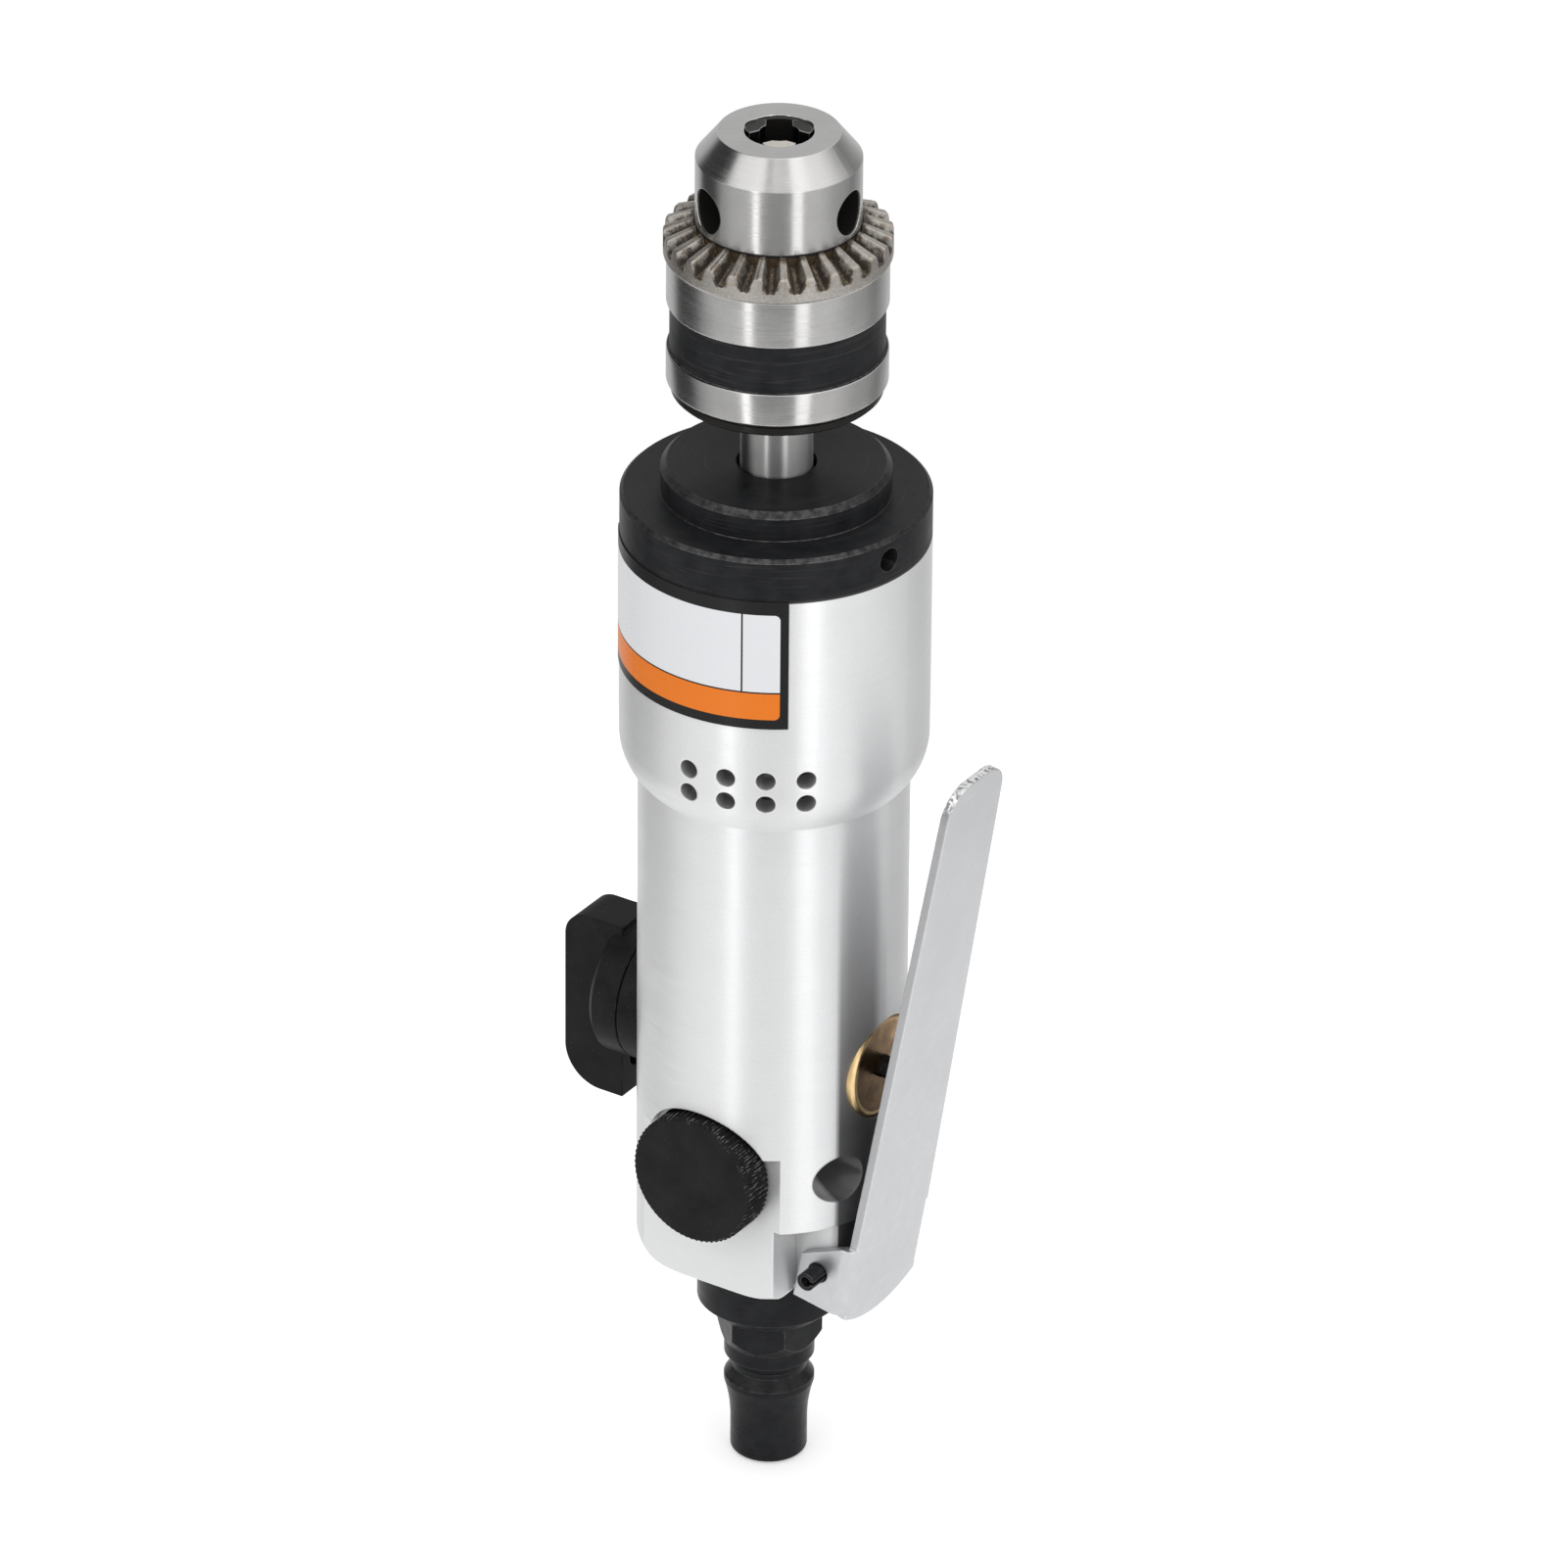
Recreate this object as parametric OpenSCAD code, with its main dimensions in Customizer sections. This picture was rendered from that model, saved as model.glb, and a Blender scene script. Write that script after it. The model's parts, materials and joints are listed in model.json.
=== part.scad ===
// Straight air drill with a lever throttle, a reversing knob, an air regulator and a keyed chuck.
// Millimetres. +Z runs along the spindle to the chuck, the lever is on +X, the reversing knob on -X
// and the regulator on -Y. The origin is the middle of the hose plug's round land.

/* [Hose plug] */
// Diameter of the plug's round land
plug_d = 12; // [10:0.1:14]
// Length of the round land
plug_land = 4.7; // [4:0.1:8]
// Rounded lead at the plug's tip
plug_lead = 0.8; // [0.3:0.1:1.2]
// Length of the swept taper behind the land
plug_taper = 7; // [5:0.1:10]
// Diameter of the latch collar
plug_collar_d = 14.1; // [13:0.1:16]
// Diameter of the latch groove
plug_groove_d = 11.6; // [10:0.1:12.4]
// Length of the latch groove with its two flanks
plug_groove = 4.2; // [3.5:0.1:6]
// Length of the collar's own land
plug_collar = 0.9; // [0.5:0.1:2]
// Length of the round neck behind the groove
plug_neck = 2.4; // [1.5:0.1:5]
// Height of the plug's hexagon
plug_hex_h = 5.4; // [3:0.1:8]
// Size of the plug's hexagon across flats
plug_hex = 14.6; // [14.4:0.1:17]
// Height of the bevel under the hexagon
plug_hex_bevel = 2.2; // [1:0.1:2.8]
// Turn of the hexagon about the plug's axis
plug_hex_turn = 19.5; // [0:0.5:60]
// Diameter of the plug's air way
plug_bore = 6.6; // [4:0.1:8]
// Diameter of the plug's thread
plug_thread_d = 13; // [11:0.1:14]
// Length of the plug's thread
plug_thread = 9; // [6:0.1:11]

/* [Inlet] */
// Diameter of the inlet bushing's collar
bushing_d = 22.6; // [21:0.1:26]
// Height of the inlet bushing's collar
bushing_h = 12; // [9:0.1:16]
// Height of the collar's lower bevel
bushing_bevel = 2.6; // [1:0.1:6]
// Diameter of the bushing's thread in the handle
bushing_thread_d = 17; // [16:0.1:19]
// Length of the bushing's thread in the handle
bushing_thread = 9; // [6:0.1:11]
// Depth of the air space above the bushing
inlet_room = 4; // [3.2:0.1:5]
// Thickness of the inlet screen
screen_t = 1; // [0.6:0.1:1.5]

/* [Handle] */
// Wall of the handle around the motor
handle_wall = 5.4; // [4.5:0.1:7]
// Radius of the handle's lower edge
handle_round = 3.6; // [1:0.1:4.2]
// Flat on the regulator's side, in from the handle's surface
flat_depth = 4.25; // [3:0.05:5]
// Height of the regulator's flat above the handle's end
flat_h = 26.2; // [24:0.1:28]
// Height of the regulator's axis above the handle's end
regulator_up = 21.4; // [20:0.1:24]
// Height of the valves' axis above the regulator's axis
valve_up = 16.2; // [15.5:0.1:20]
// Height of the motor's seat above the valves' axis
motor_up = 12; // [11.5:0.1:16]
// Radius of the sweep from the handle to the head
shoulder_r = 9.5; // [6:0.1:12]
// Height of the sweep's upper end above the motor cylinder's front end
shoulder_up = 5.2; // [2:0.1:6]

/* [Head] */
// Wall of the head around the ring gear
head_wall = 4.25; // [3.5:0.05:6]
// Diameter of an exhaust hole
exhaust_d = 3; // [2:0.1:3.4]
// Columns of exhaust holes
exhaust_columns = 4; // [2:1:8]
// Angle between two columns of exhaust holes
exhaust_pitch = 15; // [12:1:20]
// Angle of the first column of exhaust holes
exhaust_start = -90; // [-120:5:-60]
// Height between the two rows of exhaust holes
exhaust_row = 4; // [3.8:0.1:5]
// Height of the head's flat label
label_h = 21.6; // [10:0.1:22]
// Angle that the label covers
label_angle = 98; // [40:1:120]
// Angle at which the label ends
label_end = -52; // [-180:1:180]
// Thickness of the label
label_t = 0.15; // [0.1:0.05:0.3]

/* [Front cap] */
// Height of the cap's outer flange
cap_flange = 6.9; // [5.5:0.1:10]
// Height of the cap's raised boss
cap_boss = 4.6; // [2:0.1:8]
// Diameter of the cap's raised boss
cap_boss_d = 34.9; // [30:0.1:40]
// Length of the cap's threaded spigot
cap_spigot = 14.7; // [13.5:0.1:18]
// Bevel of the boss and of the flange
cap_bevel = 0.9; // [0.3:0.1:1.2]
// Diameter of the hook spanner's hole
spanner_d = 3.8; // [2:0.1:4.5]
// Depth of the hook spanner's hole
spanner_depth = 3.2; // [1.5:0.1:3.5]
// Angle of the hook spanner's hole
spanner_angle = -11; // [-180:1:180]

/* [Motor] */
// Diameter of the rotor
rotor_d = 21.4; // [18:0.1:23]
// Offset of the cylinder's bore from the rotor's axis
bore_offset = 1.2; // [0.8:0.1:1.6]
// Thinnest wall of the motor cylinder
cylinder_wall = 2.1; // [1.6:0.1:3]
// Length of the motor cylinder
cylinder_len = 28; // [20:0.5:36]
// Thickness of the rear end plate
rear_plate_t = 8; // [7.5:0.1:10]
// Thickness of the front end plate
front_plate_t = 13; // [12.6:0.1:16]
// Thickness of the front end plate's flange
front_flange_t = 2.7; // [2:0.1:3.4]
// Number of vanes
vanes_n = 5; // [4:1:6]
// Thickness of a vane
vane_t = 1.5; // [1:0.1:2]
// Depth of a vane
vane_h = 5; // [3:0.1:5.5]
// Diameter of the rotor's shaft
rotor_shaft_d = 5; // [4.8:0.1:5.6]
// Diameter of the shaft inside the sun pinion
pinion_seat_d = 4.4; // [3.5:0.1:4.6]

/* [Gears] */
// Gear module
gear_m = 0.8; // [0.7:0.05:0.9]
// Teeth of the sun pinion
sun_teeth = 12; // [12:3:12]
// Teeth of a planet gear
planet_teeth = 15; // [15:6:21]
// Length of a planet gear
planet_len = 9; // [6:0.1:10]
// Rim of the ring gear behind its teeth
ring_rim = 1.5; // [1:0.1:3]
// Length of the ring gear
ring_len = 11.5; // [11.5:0.1:14]
// Diameter of a planet pin
planet_pin_d = 4.5; // [3:0.1:6]
// Thickness of the carrier disc
carrier_t = 3.2; // [2.5:0.1:3.6]
// Sideways play between two teeth
backlash = 0.16; // [0.1:0.01:0.25]

/* [Bearings] */
// Bore of the rotor's bearings takes the rotor's shaft, and this is their outer diameter
rotor_bearing_d = 16; // [15:0.1:18]
// Width of the rotor's bearings
rotor_bearing_w = 5; // [4.6:0.1:6]
// Ball of the rotor's bearings
rotor_ball_d = 3.2; // [2.4:0.1:3.4]
// Outer diameter of the spindle's bearing
spindle_bearing_d = 28; // [26:0.1:30]
// Width of the spindle's bearing
spindle_bearing_w = 8; // [7:0.1:9]
// Ball of the spindle's bearing
spindle_ball_d = 4.8; // [3.5:0.1:5]
// Length of the spindle's bronze bush
bush_len = 6.5; // [5:0.1:8]
// Wall of the spindle's bronze bush
bush_wall = 2.4; // [1.5:0.1:3]

/* [Spindle] */
// Diameter of the spindle in its bearing
spindle_seat_d = 12; // [11.6:0.1:13]
// Diameter of the spindle below the chuck
spindle_d = 11; // [10:0.1:11.4]
// Free length of the spindle between the cap and the chuck
spindle_free = 12.3; // [6:0.1:20]
// Diameter of the spindle's chuck thread
spindle_thread_d = 9.6; // [8:0.1:10]
// Length of the spindle's chuck thread
spindle_thread = 13; // [10:0.1:14]
// Room around the spindle where it leaves the cap
spindle_room = 0.6; // [0.3:0.1:1]

/* [Chuck] */
// Diameter of the chuck's body
chuck_d = 25; // [24:0.1:26]
// Height of the chuck
chuck_h = 42.9; // [42:0.1:46]
// Diameter of the chuck's nose face
nose_d = 18.5; // [17.6:0.1:20]
// Height of the chuck's nose cone
nose_h = 4.1; // [3:0.1:5]
// Diameter of the throat for the bit
throat_d = 10.5; // [10.2:0.1:11]
// Diameter of a key hole
key_d = 7; // [5:0.1:7.2]
// Depth of a key hole
key_depth = 4.6; // [3:0.1:5]
// Height of the key holes' axis below the nose face
key_down = 10.4; // [9.2:0.1:10.5]
// Angle of the first jaw about the spindle
chuck_clock = -57; // [-180:1:180]
// Height of the black foot under the sleeve
foot_h = 1.4; // [1.2:0.1:4]
// Diameter of the black foot
foot_d = 32; // [28:0.1:33]
// Bevel under the black foot
foot_bevel = 0.4; // [0.2:0.1:1]

/* [Chuck sleeve] */
// Diameter of the sleeve's bright bands
sleeve_d = 33.4; // [32.4:0.1:36]
// Diameter of the sleeve at its gear
sleeve_gear_d = 34.4; // [33:0.1:37]
// Depth of the black band between the bright bands
band_depth = 0.5; // [0.2:0.1:0.7]
// Height of the lower bright band
band_low = 5.6; // [3:0.1:7]
// Height of the black band
band_mid = 7.8; // [5:0.1:9]
// Height of the upper bright band
band_top = 7.4; // [6.2:0.1:9]
// Height of the matt strip under the teeth
band_strip = 1.8; // [1.5:0.1:4]
// Height of a tooth at the rim
tooth_h = 2.4; // [1.5:0.1:3]
// Rise of the toothed face from rim to centre
tooth_rise = 1.6; // [0.8:0.1:2.5]
// Number of key teeth
key_teeth = 27; // [24:1:36]
// Turn of the key teeth against the jaws
tooth_clock = 3; // [-7:1:7]

/* [Jaws] */
// Radius of the jaws' axes at the jaw nut
jaw_spread = 9.5; // [9:0.1:9.8]
// Diameter of a jaw
jaw_d = 5.2; // [4.8:0.1:5.6]
// Length of a jaw
jaw_len = 20; // [16:0.1:21]
// Radius at which the jaws hold a bit as stored
grip_r = 3; // [2.6:0.1:3.4]
// Smallest radius that the jaws close to
grip_min = 0.75; // [0.5:0.05:1.2]
// Largest radius that the jaws open to
grip_max = 5; // [4.5:0.1:5]
// Depth of the jaws' tips below the nose face as stored
jaw_sunk = 0.2; // [0:0.1:2]
// Radius of the jaws' axes at the nose face
jaw_axis_r = 2.8; // [2.7:0.1:3.4]
// Height of the jaw nut
nut_h = 5; // [3:0.1:6]
// Width of the jaw nut's ring
nut_w = 2.2; // [1.6:0.1:2.6]

/* [Throttle lever] */
// Thickness of the lever's sheet
lever_t = 1.4; // [1:0.1:1.8]
// Width of the lever over its ears
lever_w = 22.4; // [19:0.1:24]
// Width of the lever's plate above its ears
lever_neck_w = 20.4; // [17.5:0.1:21]
// Width of the lever at its tip
lever_tip_w = 15.2; // [11:0.1:18]
// Length of the lever above its pin
lever_len = 90.5; // [70:0.5:100]
// Length of the lever below its pin
lever_tail = 9.6; // [8:0.1:13]
// Radius of the lever's tip corners
lever_tip_r = 5; // [2:0.1:7]
// Radius of the lever's round tail
lever_tail_r = 20; // [13:0.1:26]
// Slope of the released lever
lever_slope = 9.9; // [9:0.1:12]
// Turn of the lever when it is pressed home
lever_turn = 6; // [4:0.1:6.5]
// Distance from the pin to the lever's outer face
lever_out = 5.45; // [5.2:0.05:6.5]
// Length of an ear behind the pin
ear_back = 3.4; // [3:0.1:4.6]
// Height of an ear's back edge above the pin
ear_up = 1.9; // [1.8:0.1:3]
// Rise of an ear's upper edge towards the plate
ear_rise = 4.2; // [2:0.1:6]
// Depth of an ear below the pin
ear_down = 6; // [4:0.1:7]
// Outer radius of the fold between plate and ear
fold_r = 2.1; // [1.9:0.1:3]
// Diameter of the lever's roll pin
pin_d = 3; // [2.4:0.1:3.4]
// Length of the roll pin beyond each ear
pin_free = 3.4; // [1:0.1:5]
// Wall of the roll pin
pin_wall = 0.6; // [0.4:0.05:0.8]
// Height of the pin above the handle's end
pin_up = 4.8; // [4.5:0.1:6]
// Distance of the pin in from the handle's surface
pin_in = 4.75; // [4.5:0.05:5.5]
// Height of the slot for the lever's ears
ear_slot_h = 13.1; // [12.2:0.1:14]

/* [Throttle valve] */
// Diameter of the brass valve bush
valve_bush_d = 16.6; // [13:0.1:16.8]
// Depth of the brass valve bush's inner end from the handle's surface
valve_bush_in = 8.75; // [7:0.1:10]
// Depth of the bush's face from the handle's surface
valve_face_in = 0.45; // [0.2:0.05:1]
// Diameter of the valve pin
valve_pin_d = 3.5; // [2.5:0.1:4]
// Diameter of the valve's head
valve_head_d = 10; // [8:0.1:11]
// Thickness of the valve's head
valve_head_t = 1.5; // [1:0.1:2]
// Depth of the valve's chamber from the handle's surface
valve_room = 19.25; // [18.5:0.1:19.6]
// Diameter of the valve's spring
spring_d = 7; // [5:0.1:8]
// Wire of the valve's spring
spring_wire = 0.7; // [0.5:0.05:0.8]
// Turns of the valve's spring
spring_turns = 4; // [3:1:4]

/* [Reversing knob] */
// Diameter of the knob's round hub
reverse_hub_d = 22; // [14:0.1:23]
// Length of the hub out from the handle
reverse_hub = 5.3; // [4:0.1:9]
// Thickness of the base ring under the hub, where it is thinnest
reverse_base_t = 0.6; // [0.4:0.1:1]
// Distance of the wing's inner face from the handle's surface
wing_in = 4.2; // [2:0.1:5]
// Distance of the wing's outer face from the handle's surface
wing_out = 14.8; // [12:0.1:18]
// Length of the wing above the knob's axis
wing_up = 11.6; // [9:0.1:14]
// Length of the wing below the knob's axis
wing_down = 18.4; // [15:0.1:22]
// Thickness of the wing
wing_t = 8; // [7:0.1:12]
// Radius of the wing's lower corner
wing_r = 6.5; // [2:0.1:8]
// Radius of the wing's upper corner
wing_top_r = 4; // [1:0.1:5]
// Diameter of the blind hole in the wing
wing_hole_d = 3.8; // [2:0.1:5]
// Distance of the blind hole from the knob's axis
wing_hole_at = 12.5; // [11.5:0.1:14]
// Diameter of the reversing spool
spool_d = 11; // [9:0.1:12]
// Wall of the brass sleeve around the spool
spool_wall = 2; // [1.5:0.1:2.4]
// Length of the brass sleeve
spool_sleeve = 16; // [12:0.1:17]

/* [Regulator] */
// Diameter of the regulator's knob
regulator_d = 21.4; // [18:0.1:22.4]
// Height of the regulator's knob
regulator_h = 5.7; // [4:0.1:8]
// Bevel of the knob's front edge
regulator_bevel = 0.9; // [0.3:0.1:1.5]
// Number of grooves around the knob
regulator_grooves = 72; // [36:4:90]
// Diameter of the regulator's stem
stem_d = 9; // [7:0.1:10]
// Length of the regulator's stem
stem_len = 22; // [18:0.1:24]
// Depth of the retaining screw's axis from the flat
screw_in = 7.4; // [6:0.1:8]
// Diameter of the retaining screw
screw_d = 7.8; // [6:0.1:8.6]
// Length of the retaining screw
screw_len = 7; // [5:0.1:8]

/* [Hidden] */
$fn = 64;

// Named clearances and the overrun of a cut
over = 1;
seat = 0.02;
fit = 0.05;
end_play = 0.1;
ball_play = 0.1;
clear = 0.3;
lever_play = 0.2;
arc_steps = 10;

// Heights along the axis, stacked from the plug's tip
z_tip = -plug_lead - plug_land / 2;
z_taper = plug_land / 2;
z_collar = z_taper + plug_taper;
z_groove = z_collar + plug_collar;
z_neck = z_groove + plug_groove;
z_hex = z_neck + plug_neck;
z_bushing = z_hex + plug_hex_h;
z_handle = z_bushing + bushing_h;
z_pin = z_handle + pin_up;
z_regulator = z_handle + regulator_up;
z_valve = z_regulator + valve_up;
z_motor = z_valve + motor_up;
z_cylinder = z_motor + rear_plate_t;
z_front_plate = z_cylinder + cylinder_len;
z_head = z_front_plate + shoulder_up;
z_gear = z_front_plate + front_plate_t;
z_cap_spigot = z_gear + ring_len;
z_cap = z_cap_spigot + cap_spigot;
z_flange = z_cap + cap_flange;
z_boss = z_flange + cap_boss;
z_chuck = z_boss + spindle_free;
z_nose = z_chuck + chuck_h;

// Motor and gear radii, and the two outer radii that follow from them
rotor_r = rotor_d / 2;
cylinder_bore_r = rotor_r + bore_offset + end_play;
cylinder_r = cylinder_bore_r + bore_offset + cylinder_wall;
motor_bore_r = cylinder_r + fit;
handle_r = motor_bore_r + handle_wall;
ring_teeth = sun_teeth + 2 * planet_teeth;
sun_r = gear_m * sun_teeth / 2;
planet_r = gear_m * planet_teeth / 2;
ring_r = gear_m * ring_teeth / 2;
addendum = gear_m;
dedendum_share = 1.25;
dedendum = dedendum_share * gear_m;
pressure_angle = 25;
flank_steps = 3;
carrier_arm = sun_r + planet_r;
ring_outer_r = ring_r + dedendum + ring_rim;
head_bore_r = ring_outer_r + fit;
head_r = head_bore_r + head_wall;
carrier_r = ring_r - addendum - 2 * clear;

// Chuck values
chuck_r = chuck_d / 2;
sleeve_bore_r = chuck_r + fit;
z_sleeve = z_chuck + foot_h + clear;
z_band_mid = z_sleeve + band_low;
z_band_top = z_band_mid + band_mid;
z_strip = z_band_top + band_top;
z_root = z_strip + band_strip;
z_tooth = z_root + tooth_h;
z_sleeve_top = z_tooth + tooth_rise;
z_nut = z_strip - nut_h;
jaw_r = jaw_d / 2;
jaw_slope = atan((jaw_spread - jaw_axis_r) / (z_nose - z_nut));
jaw_tip_z = z_nose - jaw_sunk;
jaw_low_z = jaw_tip_z - jaw_len;
jaw_open_run = (grip_max - grip_r) / sin(jaw_slope);
nut_jaw_r = jaw_spread + (jaw_r + clear) / cos(jaw_slope);
nut_bore_r = max(nut_jaw_r, chuck_r + clear);
nut_r = nut_bore_r + nut_w;

// Valve, lever and knob places
flat_y = -handle_r + flat_depth;
pin_x = handle_r - pin_in;
valve_face_x = handle_r - valve_face_in;
valve_seat_x = handle_r - valve_bush_in;
valve_room_x = handle_r - valve_room;
seal_wire = 1;
valve_head_x = valve_seat_x - seal_wire;
lever_in = lever_out - lever_t;
valve_arm = z_valve - z_pin;
lever_face_x = pin_x + lever_in / cos(lever_slope) + valve_arm * tan(lever_slope);
valve_ball_x = lever_face_x - (valve_pin_d / 2 + clear) / cos(lever_slope);
lug_half = lever_w / 2 - lever_t - clear;
lug_front_x = pin_x + lever_in * cos(lever_slope) - pin_up * tan(lever_slope) - 2 * clear;
lug_back_x = pin_x - (ear_back + ear_down * tan(lever_slope)) - clear;
lever_pressed = lever_slope - lever_turn;
relief_x = pin_x + lever_in / cos(lever_pressed) + (ear_slot_h - pin_up) * tan(lever_pressed) - clear;
relief_h = 8;
spool_r = spool_d / 2;
spool_sleeve_r = spool_r + fit + spool_wall;
stem_r = stem_d / 2;
screw_y = flat_y + screw_in;
screw_nose_d = 2.4;
screw_groove_depth = 1;
screw_seat_x = stem_r + clear;
air_way_d = 5;

// Bearing descriptions: bore radius, outer radius, width, ball radius and number of balls
rotor_bearing = [rotor_shaft_d / 2, rotor_bearing_d / 2, rotor_bearing_w, rotor_ball_d / 2, 7];
spindle_bearing = [spindle_seat_d / 2, spindle_bearing_d / 2, spindle_bearing_w, spindle_ball_d / 2, 8];
z_rear_bearing = z_motor + end_play;
z_front_bearing = z_gear - front_flange_t - rotor_bearing_w;
z_planets = z_gear + clear;
z_carrier = z_planets + planet_len + clear;
z_spindle_bearing = z_carrier + carrier_t + clear;
z_bush = z_boss - 2 * over - bush_len;

// Colours
aluminium = [0.80, 0.81, 0.82];
black_steel = [0.10, 0.10, 0.11];
bright_steel = [0.70, 0.70, 0.69];
dark_steel = [0.30, 0.30, 0.32];
brass = [0.72, 0.53, 0.25];
black_plastic = [0.09, 0.09, 0.10];
rubber = [0.05, 0.05, 0.05];
label_colour = [0.90, 0.45, 0.12];

// Points of an arc about a centre
function arc(cx, cy, r, from, to) =
    [for (i = [0 : arc_steps])
        let (a = from + (to - from) * i / arc_steps)
        [cx + r * cos(a), cy + r * sin(a)]];

// Involute angle at a radius
function involute(r, base_r) = sqrt(pow(r / base_r, 2) - 1) * 180 / PI - acos(base_r / r);

// Half the angle of a tooth at a radius, from its half angle at the pitch radius
function tooth_half(r, pitch_r, base_r, half) = half + involute(pitch_r, base_r) - involute(r, base_r);

// Outline of an involute gear between two radii, with its teeth thinned by a play
function gear_points(teeth, pitch_r, low_r, high_r, play) =
    let (base_r = pitch_r * cos(pressure_angle),
         start_r = max(low_r, base_r),
         half = 90 / teeth - play / 4 / pitch_r * 180 / PI)
    [for (i = [0 : teeth - 1], side = [-1, 1], k = [0 : flank_steps + 1])
        let (rank = side < 0 ? k : flank_steps + 1 - k,
             r = rank == 0 ? low_r : start_r + (high_r - start_r) * (rank - 1) / flank_steps,
             a = 360 * i / teeth + side * tooth_half(max(r, start_r), pitch_r, base_r, half))
        [r * cos(a), r * sin(a)]];

// Tube between two radii
module tube(r_in, r_out, h) {
    difference() {
        cylinder(r = r_out, h = h);
        translate([0, 0, -over]) cylinder(r = r_in, h = h + 2 * over);
    }
}

// Ring of round section
module ring(r, wire) {
    rotate_extrude() translate([r, 0]) circle(d = wire, $fn = 24);
}

// Cylinder along X from one place to another
module x_rod(from, to, r) {
    translate([from, 0, 0]) rotate([0, 90, 0]) cylinder(r = r, h = to - from);
}

// Cylinder along Y from one place to another
module y_rod(from, to, r) {
    translate([0, to, 0]) rotate([90, 0, 0]) cylinder(r = r, h = to - from);
}

// Spring along Z: one tube swept along a helix, closed by flat ends
module coil(r, wire, h, turns) {
    sides = 6;
    steps = 16 * turns;
    points = [for (i = [0 : steps], j = [0 : sides - 1])
        let (a = 360 * turns * i / steps,
             b = 360 * j / sides,
             rr = r + wire / 2 * cos(b))
        [rr * cos(a), rr * sin(a), wire / 2 + (h - wire) * i / steps + wire / 2 * sin(b)]];
    sides_faces = [for (i = [0 : steps - 1], j = [0 : sides - 1], half = [0, 1])
        let (n = (j + 1) % sides,
             p = i * sides + j,
             q = i * sides + n)
        half == 0 ? [p, p + sides, q] : [q, p + sides, q + sides]];
    low_end = [for (j = [1 : sides - 2]) [0, j, j + 1]];
    high_end = [for (j = [1 : sides - 2]) [steps * sides, steps * sides + j + 1, steps * sides + j]];
    polyhedron(points = points, faces = concat(sides_faces, low_end, high_end));
}

// Outer race with its ball groove
module bearing_outer(b) {
    mid = (b[0] + b[1]) / 2;
    difference() {
        tube(mid + b[3] / 2, b[1] - seat, b[2]);
        translate([0, 0, b[2] / 2]) ring(mid, 2 * (b[3] + ball_play));
    }
}

// Inner race with its ball groove
module bearing_inner(b) {
    mid = (b[0] + b[1]) / 2;
    difference() {
        tube(b[0] + seat, mid - b[3] / 2, b[2]);
        translate([0, 0, b[2] / 2]) ring(mid, 2 * (b[3] + ball_play));
    }
}

// Balls, spread evenly
module bearing_balls(b) {
    mid = (b[0] + b[1]) / 2;
    for (i = [0 : b[4] - 1])
        rotate([0, 0, 360 * i / b[4]]) translate([mid, 0, b[2] / 2]) sphere(r = b[3]);
}

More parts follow.
